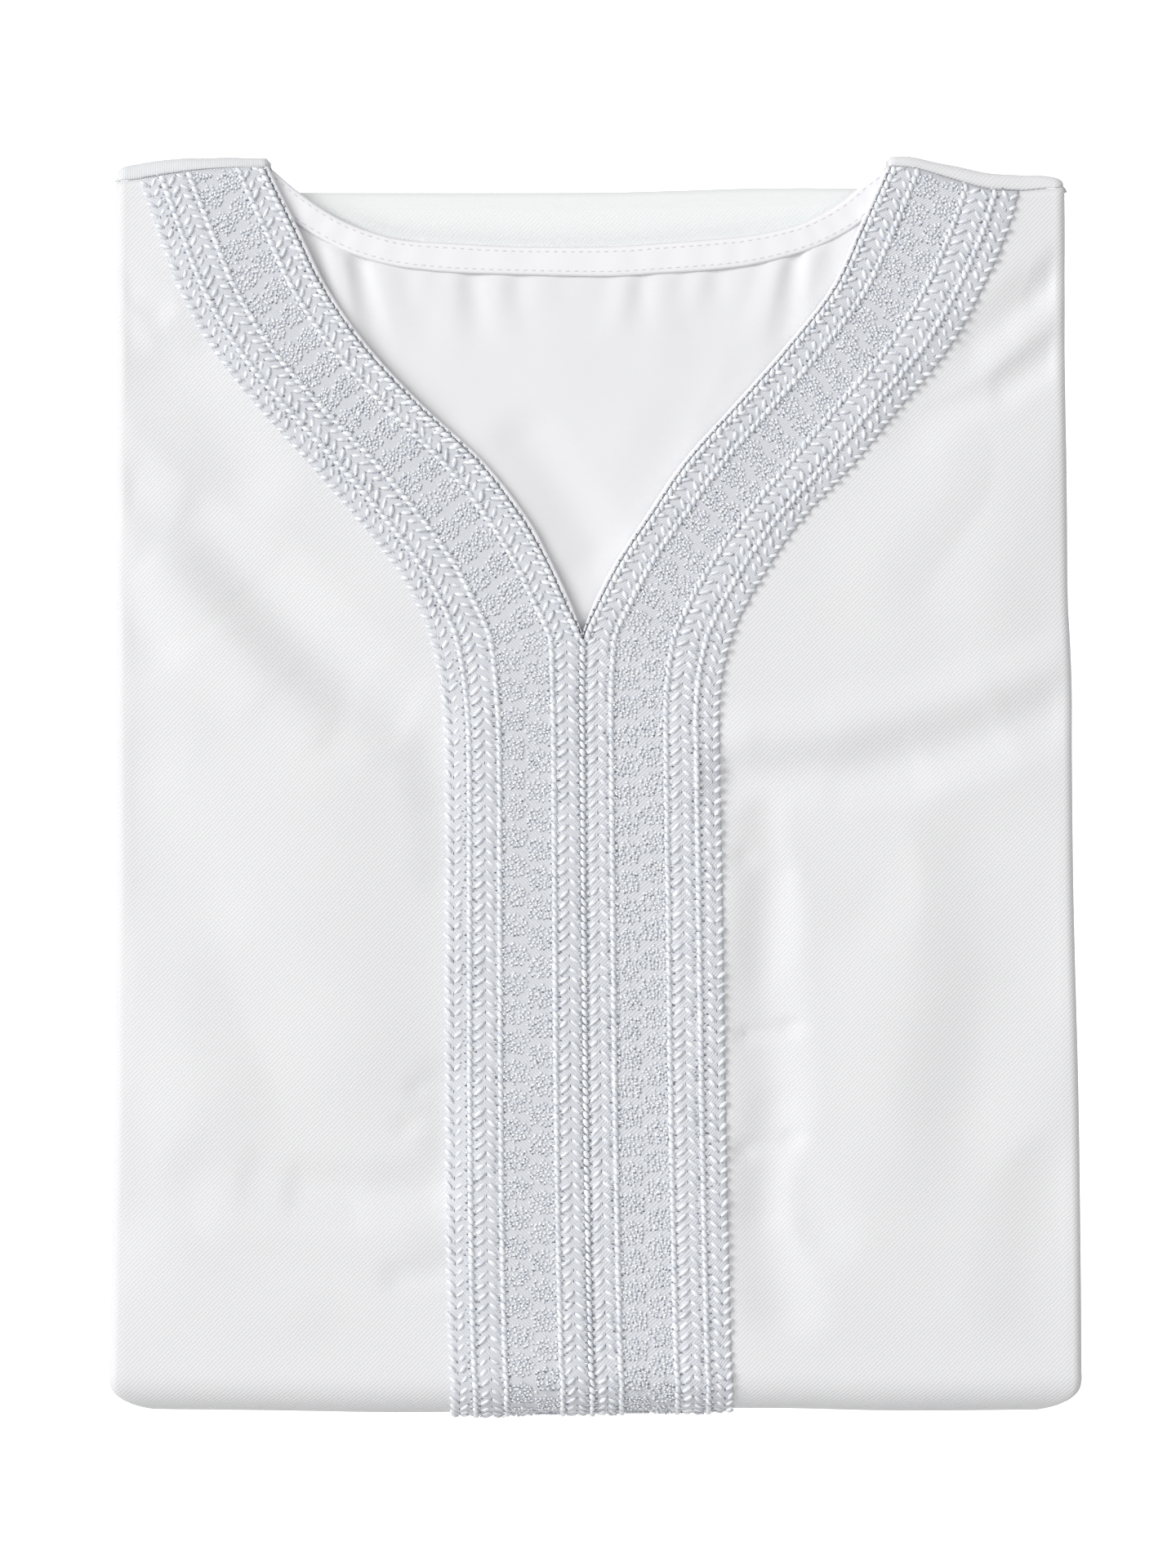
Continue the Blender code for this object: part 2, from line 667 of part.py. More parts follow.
def core_point(row, column, outer):
    """A point on the outer or inner side of the hidden layers."""
    run, place = row
    kind, side, value = column
    bare = run in ("nested_turn", "hem") or (run == "inner" and place > CORE_INNER_SHARES[0])
    rough_y = mix(turn_y(0.0), BACK_FOLD_Y, place)
    inside_roll = side * (SIDE_ROLL + ROLL_ROOM)
    flat_edge = side_of_slab(run, place, rough_y, side) - inside_roll
    rounding = 0.0
    if bare and kind == "edge":
        x = flat_edge + inside_roll * math.sin(value)
        rounding = (SLAB / 2 - SLIT - BLUNT_EDGE) * (1 - math.cos(value))
    elif bare:
        x = flat_edge * value
    elif kind == "edge":
        x = flat_edge - side * EDGE_SQUEEZE * (1 - math.sin(value))
    else:
        x = (flat_edge - side * EDGE_SQUEEZE) * value
    if run == "top":
        y = mix(turn_y(x), back_top_y(x), place)
        return x, y, core_top_height(x, y, place) if outer else PILE - SLAB + SLIT
    rounding += dict(HEM_ROUNDING).get(place, 0.0) if run == "hem" else 0.0
    rounding = min(rounding, SLAB / 2 - SLIT - BLUNT_EDGE)
    under_front = 0.0 if bare else CLOTH + SEAM_GAP - SLIT
    depth = SLIT + rounding + under_front if outer else SLAB - SLIT - rounding
    return point_in_fold(run, place, depth, x)


def make_folded_layers(material):
    """Everything folded away, as one long slab that follows the folds, round at its edges."""
    rows = core_rows()
    flats = [("flat", -1, value) for value in (1.0, 0.8, 0.6, 0.4, 0.2)]
    flats += [("flat", 1, value) for value in (0.0, 0.2, 0.4, 0.6, 0.8, 1.0)]
    left_edge = [("edge", -1, math.radians(angle)) for angle in reversed(EDGE_ANGLES)]
    right_edge = [("edge", 1, math.radians(angle)) for angle in EDGE_ANGLES]
    columns = left_edge + flats + right_edge
    sheets = []
    for outer in (True, False):
        points = {}
        for r, row in enumerate(rows):
            for c, column in enumerate(columns):
                points[(r, c)] = core_point(row, column, outer)
        sheets.append(points)
    faces = grid_faces(len(rows), lambda r: [(r, c) for c in range(len(columns))])
    return add_object("folded_layers", closed_mesh(sheets[0], sheets[1], faces), material)


def main():
    for item in list(bpy.data.objects):
        bpy.data.objects.remove(item, do_unlink=True)
    cloth = make_material("white_twill", WHITE_CLOTH, 0.7)
    inner = make_material("white_twill_inner_face", INNER_CLOTH, 0.75)
    facing = make_material("white_facing_twill", FACING_WHITE, 0.7)
    silver = make_material("silver_embroidery", EMBROIDERY_SILVER, 0.45)
    edging = make_material("white_rolled_edging", EDGING_WHITE, 0.6)
    make_front_panel(cloth)
    make_back_panel(inner)
    make_facing(facing)
    make_shoulder_strip("left_shoulder_strip", LEFT_STRIP_ENDS, cloth)
    make_shoulder_strip("right_shoulder_strip", RIGHT_STRIP_ENDS, cloth)
    make_neck_edging("left_neck_edging", -1, edging)
    make_neck_edging("right_neck_edging", 1, edging)
    make_band("left_embroidered_band", -1, silver)
    make_band("right_embroidered_band", 1, silver)
    make_folded_layers(cloth)


main()
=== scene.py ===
# %% [markdown]
# # A white thobe robe, folded, with a silver-grey embroidered neck
#
# The robe lies folded on a white table and the camera looks straight down at it. It is white cotton-blend
# twill. A broad machine-embroidered band runs down both sides of the V neck and on as one placket.
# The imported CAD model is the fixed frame. Each cloth piece here is laid over the same folds as its solid, on a
# much finer grid, and gets its creases, stitches and weave.

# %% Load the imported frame
import math

import bpy
import numpy as np
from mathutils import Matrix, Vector, noise


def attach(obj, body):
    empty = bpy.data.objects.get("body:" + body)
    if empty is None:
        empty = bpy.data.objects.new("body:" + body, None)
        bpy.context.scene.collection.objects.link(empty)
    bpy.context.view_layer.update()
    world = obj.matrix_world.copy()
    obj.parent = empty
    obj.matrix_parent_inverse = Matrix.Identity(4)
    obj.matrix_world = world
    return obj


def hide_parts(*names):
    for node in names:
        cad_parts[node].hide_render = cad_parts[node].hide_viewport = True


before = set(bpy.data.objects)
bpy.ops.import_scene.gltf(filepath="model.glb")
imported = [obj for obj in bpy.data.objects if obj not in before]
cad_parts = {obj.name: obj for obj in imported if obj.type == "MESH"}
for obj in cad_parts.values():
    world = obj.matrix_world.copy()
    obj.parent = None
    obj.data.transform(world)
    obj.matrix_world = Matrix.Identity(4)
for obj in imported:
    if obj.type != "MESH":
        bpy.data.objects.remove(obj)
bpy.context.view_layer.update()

# %% [markdown]
# ## Sizes
#
# Sizes are in millimetres, measured on the real object with y towards the neck, and turn to metres only
# where a mesh is filled in. The robe is one long slab of cloth, 6 mm thick, folded three times, so the
# pile has four layers. A smooth curve runs through each column of a table, so that edges have no corners.

# %% Sizes of the pile
MM = 0.001
MIDDLE_Y = -0.6
SLAB = 6.0
PILE = 4 * SLAB
FOLD_RADIUS = PILE / 2
BACK_FOLD_Y = 175.3
SIDE_ROLL = 2.8
ROLL_ROOM = 1.0
CORNER_PINCH = 11.0
NESTED_PINCH = 1.8
PINCH_POWER = 4.5
TUCK = 9.0
CLOTH = 1.0
SEAM_GAP = 0.3
BAND_WIDTH = 43.3
NECK_TIP_Y = 44.1
OPENING_TIP_Y = 46.9
BACK_HEIGHT = 21.5
BACK_PANEL_LOW_Y = 28.0
NECK_CORE_HEIGHT = 19.3
LAYER_ROOF = 19.4
BAND_END_ANGLE = 145.0
LOW_Y = -194.0

OUTLINE = {
    "y": (192, 186.6, 169.1, 151.6, 134.1, 116.6, 99.1, 81.6, 68.6, 55.4, 44.1, 27.9, 10.4, -34.6, -94.6,
        -147.1, -194),
    "left_side": (-146.6, -146.7, *[-146.8] * 12, -147.2, -148.2, -149),
    "left_band": (-141.5, -140, -134.2, -127.7, -118.2, -104.5, -88.8, -73.5, -63, -55.2, -50.7, -47.5, -46.3,
        -46.2, -46.2, -45.8, -44.6),
    "left_neck": (-102.5, -100.2, -91.7, -83.1, -70.9, -54.7, -35.9, -22.4, -14.9, -8.9, -3.9, -4.05, -3.95,
        -3.6, -3, -2.1, -0.9),
    "right_neck": (92, 89.3, 81.4, 73.2, 59.6, 44.2, 28.5, 16.5, 7.8, 0.9, -3.9, -4.05, -3.95, -3.6, -3, -2.1,
        -0.9),
    "right_band": (132.5, 131.3, 126.5, 118.8, 109.2, 94.8, 80.5, 64.2, 54.8, 47, 42, 38.8, 38.6, 39.4, 40.3,
        41.4, 42.6),
    "right_side": (143.6, 143.7, 143.8, 143.8, 143.8, 144, 144.3, 144.5, 144.6, 144.8, 145.4, 146, 146, 146.5,
        148, 148.7, 149),
}
OPENING = {
    "y": (192, 186.6, 169.1, 151.6, 134.1, 116.6, 99.1, 81.6, 68.6, 57.4, 46.9),
    "left": (-101.1, -98.8, -90.2, -81.6, -69.3, -53.1, -34.2, -20.6, -13.5, -8.2, -4),
    "right": (90.5, 87.8, 79.8, 71.6, 57.8, 42.4, 26.7, 14.8, 6.2, 0.2, -4),
}
SHOULDER = {
    "x": (-150, -142, -129.5, -117.8, -102.8, -98, 88, 94.2, 99.2, 107.8, 120, 130, 138.8, 150),
    "seam_y": (184.6, 185.1, 186.9, 188.4, 189.1, 189, 189.3, 189, 188.2, 185.6, 182.1, 181.8, 182.6, 183.4),
    "edge_y": (188, 190, 191.8, 192.1, 192.1, 191.9, 192.3, 192.7, 192, 190.1, 187.6, 186.9, 186.6, 184),
}
FACING = {
    "along": tuple(range(16)),
    "upper_x": (-99, -91.2, -81, -71.5, -59.5, -43.5, -23.5, 3.8, 19.8, 35.5, 47.5, 59.5, 67.5, 75.5, 82.5,
        88.6),
    "upper_y": (188.6, 181.9, 174.9, 170.4, 167.1, 165.9, 164.9, 164.9, 165.9, 167.1, 168.3, 170.8, 173.9,
        178.6, 184.5, 188.9),
    "lower_x": (-104, -96.5, -85.5, -74, -61, -44, -23.5, 3.8, 19.9, 36.2, 49, 63, 72, 80.5, 88, 93.5),
    "lower_y": (183, 175.5, 167.9, 162.4, 158.8, 156.9, 156.2, 155.7, 156.6, 157.7, 159.4, 163, 166.6, 171.6,
        178, 183),
}
EDGES = {
    "x": (-149, -100, -60, -20, 10, 55, 95, 149),
    "bottom_y": (-191.8, -192.3, -192.9, -192.4, -191.9, -191.6, -192.4, -191.9),
    "hem_y": (181.9, 181.9, 181.9, 181.9, 182.1, 183.4, 183, 182.6),
}
print("rows in the outline table:", len(OUTLINE["y"]))


# %% Smooth curves through the tables
def curve(table, key, name, at):
    """A column of a table as a smooth curve of its key column, at an array of places."""
    order = np.argsort(table[key])
    xs, values = np.array(table[key], float)[order], np.array(table[name], float)[order]
    at = np.clip(np.asarray(at, float), xs[0], xs[-1])
    i = np.clip(np.searchsorted(xs, at) - 1, 0, len(xs) - 2)
    slopes = np.gradient(values) / np.gradient(xs)
    span = xs[i + 1] - xs[i]
    t = (at - xs[i]) / span
    start = values[i] * (1 + 2 * t) * (1 - t) ** 2 + slopes[i] * span * t * (1 - t) ** 2
    return start + values[i + 1] * t * t * (3 - 2 * t) - slopes[i + 1] * span * t * t * (1 - t)


def ease(t):
    t = np.clip(t, 0.0, 1.0)
    return t * t * (3 - 2 * t)


def mix(a, b, t):
    return a + (b - a) * t


def outline(name, y):
    """One of the robe's long lines. Below the slit both edges of the neck are the same line."""
    own = curve(OUTLINE, "y", name, y)
    if not name.endswith("neck"):
        return own
    middle = (curve(OUTLINE, "y", "left_neck", y) + curve(OUTLINE, "y", "right_neck", y)) / 2
    return np.where(np.asarray(y) < NECK_TIP_Y, middle, own)


def turn_y(x):
    """Where the flat cloth starts to turn round the bottom fold."""
    return curve(EDGES, "x", "bottom_y", x) + FOLD_RADIUS


print("width across the middle:", round(float(outline("right_side", 0) - outline("left_side", 0)), 1), "mm")

# %% [markdown]
# ## Creases
#
# Folded twill keeps a few long soft creases and many small ones, and each differs from the next in length, depth
# and width. They are placed one by one as the photograph shows them. A cloth simulation would find its own creases
# somewhere else, so these are height functions that every sheet on top of the pile shares.

# %% Creases on the front
# A crease starts at x, y and goes on in steps of x, y, half width and depth. A negative depth is a ridge.
FRONT_CREASES = (
    # The long fold that falls from the left side to the placket: a trough above, and a ridge below it
    (-141, 89, -121.5, 79, 10, 1.3, -103, 61, 11.5, 2.1, -89.5, 46, 12, 2.3, -74.5, 33, 11.5, 2.3, -59, 24.5,
     10, 2.1, -47, 20, 9, 1.7),
    (-143, 75, -130, 65, 10, -1, -115, 46, 12, -1.8, -101.5, 31, 12, -2, -87, 17.5, 11, -1.7, -72, 8.5, 10,
     -1.1),
    # Left side, near the shoulder
    (-146, 153, -134, 145, 5, 1.3), (-146, 139, -130, 130, 5, 1), (-140, 146, -126, 137, 5, -0.4),
    (-127, 128, -110, 96, 14, 1.7), (-143, 106, -131, 92, 7, -0.5), (-146, 56, -136, 42, 8, 0.8),
    # Left side, below
    (-120, -118, -103, -121, 9, 0.8, -90, -123.5, 9, 1.5, -74, -125.5, 8.5, 2.2, -50, -124, 8, 2),
    (-112, -134, -60, -139, 11, -0.9), (-54, -93, -44, -90, 3.5, 1), (-58, -104, -44, -101, 3.5, 0.7),
    (-60, -150, -45, -148, 4.5, 0.9), (-50, 16, -45.5, -6, 9, 1.5, -45, -26, 8, 0.9),
    (-46, -92, -45, -112, 7.5, 1.2), (-140, -60, -118, -90, 18, -0.9), (-86, -6, -78, -72, 24, -1.6),
    (-132, -144, -96, -162, 13, -0.8), (-138, 2, -126, -34, 15, 0.8),
    # Right side, near the shoulder
    (147, 160, 134, 149, 6, 1.9, 116, 134, 7.5, 1.5, 98, 112, 10, 0.9),
    (146, 136, 124, 121.5, 5.5, 1.6, 103, 115, 6, 1.1), (147, 152, 130, 139, 4.5, -0.7),
    (142, 147, 122, 133, 5, -0.4), (108, 92, 88, 70, 14, -0.9), (138, 96, 120, 60, 15, -0.8),
    # The fold across the right side: a ridge above, and a trough below it
    (48, 15, 74, 17, 8, -1.2, 96, 21, 9, -1.4, 118, 28.5, 9, -1.3, 146, 39, 8, -0.9),
    (43, 2, 74, 3, 9, 2.2, 96, 8, 10, 2.3, 120, 15, 10, 1.9, 146, 25, 9, 1.4),
    # Right side, below
    (56, -12, 84, -30, 15, 1.2),
    (52, 4, 54, -26, 9, 1.7, 51.5, -60, 8, 2.1, 54.5, -96, 9.5, 1.8, 52, -132, 8.5, 2.2, 58, -160, 10, 1.5),
    (46, -22, 58, -27, 3.6, 1.9), (46, -112, 60, -108, 3.4, 2.4), (46, -76.5, 60, -74, 3, 2.5),
    (120, -22, 126, -60, 18, 1.8, 116, -96, 17, 1.5), (56, -118, 68, -136, 10, 1),
    (94, -60, 88, -110, 17, -1.1), (70, -146, 118, -160, 15, -0.8), (138, -120, 130, -156, 12, 0.9),
)


def trough_depth(creases, x, y):
    """The deepest trough at each place, less the highest ridge, so that meeting creases don't add up."""
    deepest, highest = np.zeros(np.shape(x)), np.zeros(np.shape(x))
    for x1, y1, *steps in creases:
        for x2, y2, half_width, depth in np.reshape(steps, (-1, 4)):
            squared = (x2 - x1) ** 2 + (y2 - y1) ** 2
            t = np.clip(((x - x1) * (x2 - x1) + (y - y1) * (y2 - y1)) / squared, 0, 1)
            away = np.hypot(x - mix(x1, x2, t), y - mix(y1, y2, t))
            shape = abs(depth) * ease(1 - away / (1.6 * half_width))
            if depth > 0:
                deepest = np.maximum(deepest, shape)
            else:
                highest = np.maximum(highest, shape)
            x1, y1 = x2, y2
    return deepest - highest


def unevenness(x, y, size, height, seed=0.0):
    """Soft bumps of a given size, the same on each run."""
    flat = [noise.noise(Vector((a / size, b / size, seed))) for a, b in zip(np.ravel(x), np.ravel(y))]
    return height * np.array(flat).reshape(np.shape(x))


def top_height(x, y):
    """Outer face of the front on top of the pile."""
    x, y = np.broadcast_arrays(np.asarray(x, float), np.asarray(y, float))
    side = np.minimum(x - outline("left_side", y), outline("right_side", y) - x)
    over_fold = y - turn_y(x)
    fall = 0.9 * (1 - ease(side / 26.0)) * ease(over_fold / 40.0)
    creases = trough_depth(FRONT_CREASES, x, y) * ease(over_fold / 20.0) * ease((side + 3.0) / 9.0)
    soft = unevenness(x, y, 34.0, 0.35) * ease(over_fold / 30.0) * ease(side / 12.0)
    over_edge = y - (curve(SHOULDER, "x", "edge_y", x) - SIDE_ROLL)
    drop = np.clip(over_edge, 0.0, 0.9 * SIDE_ROLL)
    return PILE - fall - creases + soft - (SIDE_ROLL - np.sqrt(SIDE_ROLL ** 2 - drop ** 2))


print("creases on the front:", len(FRONT_CREASES))

# %% [markdown]
# ## The folds
#
# One function says where a point of the slab lies, from the run of the fold that it is in and how deep it lies
# in the slab. Every layer follows it, so the layers can't cut through each other.


# %% Places in the folded slab
def point_in_fold(run, place, depth, x):
    """A point in the folded slab, at a depth of 0 where it is outermost on top of the pile."""
    if run == "turn":
        radius = FOLD_RADIUS - depth
        return x, turn_y(x) - radius * np.sin(place), FOLD_RADIUS + radius * np.cos(place)
    if run == "under":
        return x, mix(turn_y(x), BACK_FOLD_Y, place), depth
    if run == "back_turn":
        radius = SLAB - depth
        return x, BACK_FOLD_Y + radius * np.sin(place), SLAB - radius * np.cos(place)
    if run == "inner":
        return x, mix(BACK_FOLD_Y, turn_y(x), place), 2 * SLAB - depth
    if run == "nested_turn":
        return x, turn_y(x) - depth * np.sin(place), 2 * SLAB - depth * np.cos(place)
    return x, mix(turn_y(x), curve(EDGES, "x", "hem_y", x), place), 2 * SLAB + depth


def side_of_slab(run, place, y, side):
    """X of the slab's long side, with the corners of each fold pinched in."""
    name = "left_side" if side < 0 else "right_side"
    if run == "top":
        return outline(name, y)
    if run == "turn":
        return outline(name, LOW_Y) - side * CORNER_PINCH * math.sin(place) ** PINCH_POWER
    if run == "under":
        return outline(name, mix(LOW_Y, BACK_FOLD_Y, place)) - side * 0.6 * ease(place * 4)
    if run == "back_turn":
        return outline(name, BACK_FOLD_Y) - side * (0.6 + NESTED_PINCH * math.sin(place) ** PINCH_POWER)
    if run == "inner":
        return outline(name, mix(BACK_FOLD_Y, LOW_Y, place)) - side * 1.4
    if run == "nested_turn":
        return outline(name, LOW_Y) - side * (1.4 + NESTED_PINCH * math.sin(place) ** PINCH_POWER)
    return outline(name, mix(LOW_Y, BACK_FOLD_Y, place)) - side * 1.0


def flat_run(run, place, x):
    """How far along the flat cloth a place is, in mm, measured down from y = 0."""
    bottom = turn_y(x)
    after_turn = bottom - math.pi * FOLD_RADIUS
    under = BACK_FOLD_Y - bottom
    if run == "turn":
        return bottom - FOLD_RADIUS * place
    if run == "under":
        return after_turn - under * place
    if run == "back_turn":
        return after_turn - under - SLAB * place
    return after_turn - under - SLAB * math.pi - under * place


def side_squash(height):
    """How flat a rolled side is pressed, so that it ends within the top run of the slab."""
    return (height - (PILE - SLAB + 0.4)) / (2 * SIDE_ROLL)


def front_points(side, rows, shares, lift=0.0):
    """Points of one half of the front for rows of (run, place), and their places in the flat cloth, in mm.

    Shares run across it: 0 to 1 is the band, 1 to 2 plain cloth, 2 to 3 the rolled side, 3 to 4 turned in.
    """
    shares = np.asarray(shares, float)
    word = "left" if side < 0 else "right"
    points = np.zeros((len(rows), len(shares), 3))
    flat = np.zeros((len(rows), len(shares), 2))

    def across(run, place, y):
        own_y = {"top": y, "turn": LOW_Y, "under": mix(LOW_Y, BACK_FOLD_Y, place)}.get(run, BACK_FOLD_Y)
        own_y = np.broadcast_to(own_y, shares.shape)
        line_y = own_y if run == "top" else np.minimum(own_y, NECK_TIP_Y)
        neck = outline(word + "_neck", line_y)
        band = outline(word + "_band", line_y if run == "top" else np.minimum(line_y, 0.0))
        rolled = side_of_slab(run, place, own_y, side) - side * SIDE_ROLL
        on_flat = np.where(shares < 1, mix(neck, band, shares), mix(band, rolled, np.clip(shares - 1, 0, 1)))
        angle = np.clip(shares - 2, 0, 1) * math.pi
        tucked = np.clip(shares - 3, 0, 1) * TUCK
        radius = SIDE_ROLL + lift
        x = np.where(shares <= 2, on_flat, rolled + side * (radius * np.sin(angle) - tucked))
        depth = np.where(shares <= 2, -lift, SIDE_ROLL - radius * np.cos(angle))
        spread = np.where(shares <= 2, on_flat, rolled + side * (SIDE_ROLL * angle + tucked))
        return x, depth, spread, rolled

    for r, (run, place) in enumerate(rows):
        if run in ("neck", "below"):
            if run == "neck":
                # The seam's y depends on x, and x on y, so a few rounds settle them.
                seam_y = np.full(shares.shape, 186.0)
                for step in range(4):
                    seam_y = curve(SHOULDER, "x", "seam_y", across("top", 0.0, seam_y)[0])
                y = mix(NECK_TIP_Y, seam_y, place)
            else:
                y = mix(NECK_TIP_Y, turn_y(across("top", 0.0, np.full(shares.shape, NECK_TIP_Y))[0]), place)
            x, depth, spread, rolled = across("top", 0.0, y)
            height = top_height(np.where(shares <= 2, x, rolled), y)
            squash = np.where(shares <= 2, 1.0, side_squash(height))
            points[r] = np.stack([x, y, height - depth * squash], axis=1)
            flat[r] = np.stack([spread, y], axis=1)
        else:
            x, depth, spread, rolled = across(run, place, 0.0)
            points[r] = np.stack(np.broadcast_arrays(*point_in_fold(run, place, depth, x)), axis=1)
            flat[r] = np.stack(np.broadcast_arrays(spread, flat_run(run, place, x)), axis=1)
    return points, flat


print("flat length of the front:", round(float(192 - flat_run("inner", 0.02, 0.0))), "mm")

# %% [markdown]
# ## Laying a sheet
#
# A sheet starts as Blender's own grid, cut to rows and columns. Its points then move to their places in the fold,
# and the UV map keeps their places in the flat cloth, in metres, so that the weave follows the cloth round each
# fold. A Solidify modifier gives it the thickness of cloth.


# %% Helpers that lay, join and thicken cloth
def deselect():
    if bpy.context.object and bpy.context.object.mode != "OBJECT":
        bpy.ops.object.mode_set(mode="OBJECT")
    bpy.ops.object.select_all(action="DESELECT")


def lay_grid(name, points, flat):
    """A grid of rows and columns whose points lie at places given in mm, with the flat cloth as its UV map."""
    rows, columns = points.shape[:2]
    deselect()
    bpy.ops.mesh.primitive_grid_add(x_subdivisions=columns - 1, y_subdivisions=rows - 1, size=1.0)
    piece = bpy.context.object
    piece.name = piece.data.name = name
    places = points.reshape(-1, 3) - np.array([0.0, MIDDLE_Y, 0.0])
    piece.data.vertices.foreach_set("co", (places * MM).astype(np.float32).ravel())
    corners = np.zeros(len(piece.data.loops), np.int32)
    piece.data.loops.foreach_get("vertex_index", corners)
    cloth_map = piece.data.uv_layers.active or piece.data.uv_layers.new(name="UVMap")
    cloth_map.data.foreach_set("uv", (flat.reshape(-1, 2)[corners] * MM).astype(np.float32).ravel())
    piece.data.update()
    return piece


def apply_modifiers(piece):
    deselect()
    piece.select_set(True)
    bpy.context.view_layer.objects.active = piece
    for modifier in list(piece.modifiers):
        bpy.ops.object.modifier_apply(modifier=modifier.name)


def thicken(piece, thickness):
    """Give a sheet its cloth thickness inwards, from its outer face."""
    wall = piece.modifiers.new("cloth thickness", "SOLIDIFY")
    wall.thickness = thickness * MM
    wall.offset = -1.0
    apply_modifiers(piece)
    piece.data.shade_smooth()


def join_pieces(pieces, weld):
    """Join pieces into the first one, and weld points that lie closer than a distance in mm."""
    deselect()
    for piece in pieces:
        piece.select_set(True)
    bpy.context.view_layer.objects.active = pieces[0]
    bpy.ops.object.join()
    bpy.ops.object.mode_set(mode="EDIT")
    bpy.ops.mesh.select_all(action="SELECT")
    bpy.ops.mesh.remove_doubles(threshold=weld * MM)
    bpy.ops.object.mode_set(mode="OBJECT")
    return pieces[0]


def close_tube(piece, weld, cap=False):
    """Weld a rolled grid into a tube, cap its ends or clear faces without area, and face it outwards."""
    join_pieces([piece], weld)
    bpy.ops.object.mode_set(mode="EDIT")
    if cap:
        bpy.ops.mesh.select_all(action="DESELECT")
        bpy.ops.mesh.select_non_manifold()
        bpy.ops.mesh.edge_face_add()
    else:
        bpy.ops.mesh.select_all(action="SELECT")
        bpy.ops.mesh.dissolve_degenerate(threshold=0.001 * MM)
    bpy.ops.mesh.select_all(action="SELECT")
    bpy.ops.mesh.normals_make_consistent(inside=False)
    bpy.ops.object.mode_set(mode="OBJECT")
    piece.data.shade_smooth()


def seat(piece, material, slot, *nodes):
    """Every piece gets its material, rides on the one body and stands for its CAD nodes. The slot is not used."""
    piece.data.materials.append(material)
    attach(piece, "root")
    if nodes:
        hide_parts(*nodes)
    print(piece.name, sum(len(face.vertices) - 2 for face in piece.data.polygons), "triangles")
    return piece


# %% [markdown]
# ## Materials
#
# White twill is matt cotton-blend with a faint sheen, and its diagonal lines are about a millimetre apart. The
# embroidery is lustrous viscose thread in silver grey: it is smooth along the thread, so it glints where a stitch
# turns to the light. One function turns sRGB hex values to linear colours, and one adds a node.


# %% Helpers for colours and nodes
def linear(hex_colour):
    channels = [int(hex_colour[i:i + 2], 16) / 255 for i in (1, 3, 5)]
    return [c / 12.92 if c <= 0.04045 else ((c + 0.055) / 1.055) ** 2.4 for c in channels] + [1.0]


def new_material(name, colour, roughness, **inputs):
    """A material with its uniform values on the shader's own sockets."""
    material = bpy.data.materials.new(name)
    material.use_nodes = True
    shader = material.node_tree.nodes["Principled BSDF"]
    shader.inputs["Base Color"].default_value = linear(colour)
    shader.inputs["Roughness"].default_value = roughness
    for socket, value in inputs.items():
        shader.inputs[socket.replace("_", " ")].default_value = value
    return material


def add(material, kind, settings=None, **links):
    """Add a node, with its settings and links. A link's key is the socket's name, or _ and its number."""
    tree = material.node_tree
    node = tree.nodes.new(kind)
    for key, value in (settings or {}).items():
        if isinstance(key, str) and hasattr(node, key):
            setattr(node, key, value)
        else:
            node.inputs[key].default_value = value
    for key, source in links.items():
        socket = node.inputs[int(key[1:])] if key.startswith("_") else node.inputs[key]
        tree.links.new(source, socket)
    return node


def finish(material, **links):
    """Link sources to the shader's sockets."""
    shader = material.node_tree.nodes["Principled BSDF"]
    for key, source in links.items():
        material.node_tree.links.new(source, shader.inputs[key.replace("_", " ")])


def mottle(material, place, scale, detail, dark, light, used=None):
    """A base colour that noise mixes from two colours. Used is the part of the noise's range that is used."""
    share = add(material, "ShaderNodeTexNoise", {"Scale": scale, "Detail": detail}, Vector=place).outputs["Fac"]
    if used:
        share = add(material, "ShaderNodeMapRange", {"From Min": used[0], "From Max": used[1]},
                    Value=share).outputs[0]
    tone = add(material, "ShaderNodeMix", {"data_type": "RGBA", 6: linear(dark), 7: linear(light)}, _0=share)
    finish(material, Base_Color=tone.outputs[2])


def bands(pitch):
    """The Wave node's scale for bands at a pitch in mm."""
    return 2 * math.pi / (20 * pitch * MM)


# %% Twill materials
TWILL_PITCH = 1.0
TWILL_DEPTH = 0.05


def twill(name, colour, shade, lean, pitch=TWILL_PITCH, depth=TWILL_DEPTH, roughness=0.62):
    """Cotton-blend twill: raised diagonal lines, crossed by finer threads, with soft uneven brightness."""
    material = new_material(name, colour, roughness, Sheen_Weight=0.12, Sheen_Roughness=0.4,
                            Specular_IOR_Level=0.35)
    cloth = add(material, "ShaderNodeTexCoord").outputs["UV"]
    turned = add(material, "ShaderNodeMapping", {"Rotation": (0, 0, math.radians(lean))}, Vector=cloth)
    lines = add(material, "ShaderNodeTexWave",
                {"wave_type": "BANDS", "bands_direction": "X", "Scale": bands(pitch), "Distortion": 0.6,
                 "Detail": 1.0, "Detail Scale": 2.0}, Vector=turned.outputs[0])
    threads = add(material, "ShaderNodeTexWave",
                  {"wave_type": "BANDS", "bands_direction": "Y", "Scale": bands(pitch * 0.6), "Distortion": 1.0},
                  Vector=cloth)
    both = add(material, "ShaderNodeMath", {"operation": "MULTIPLY_ADD", 1: 0.25}, _0=threads.outputs["Fac"],
               _2=lines.outputs["Fac"])
    bump = add(material, "ShaderNodeBump", {"Distance": depth * MM, "Strength": 1.0}, Height=both.outputs[0])
    mottle(material, cloth, 28.0, 2.0, shade, colour)
    finish(material, Normal=bump.outputs[0])
    return material


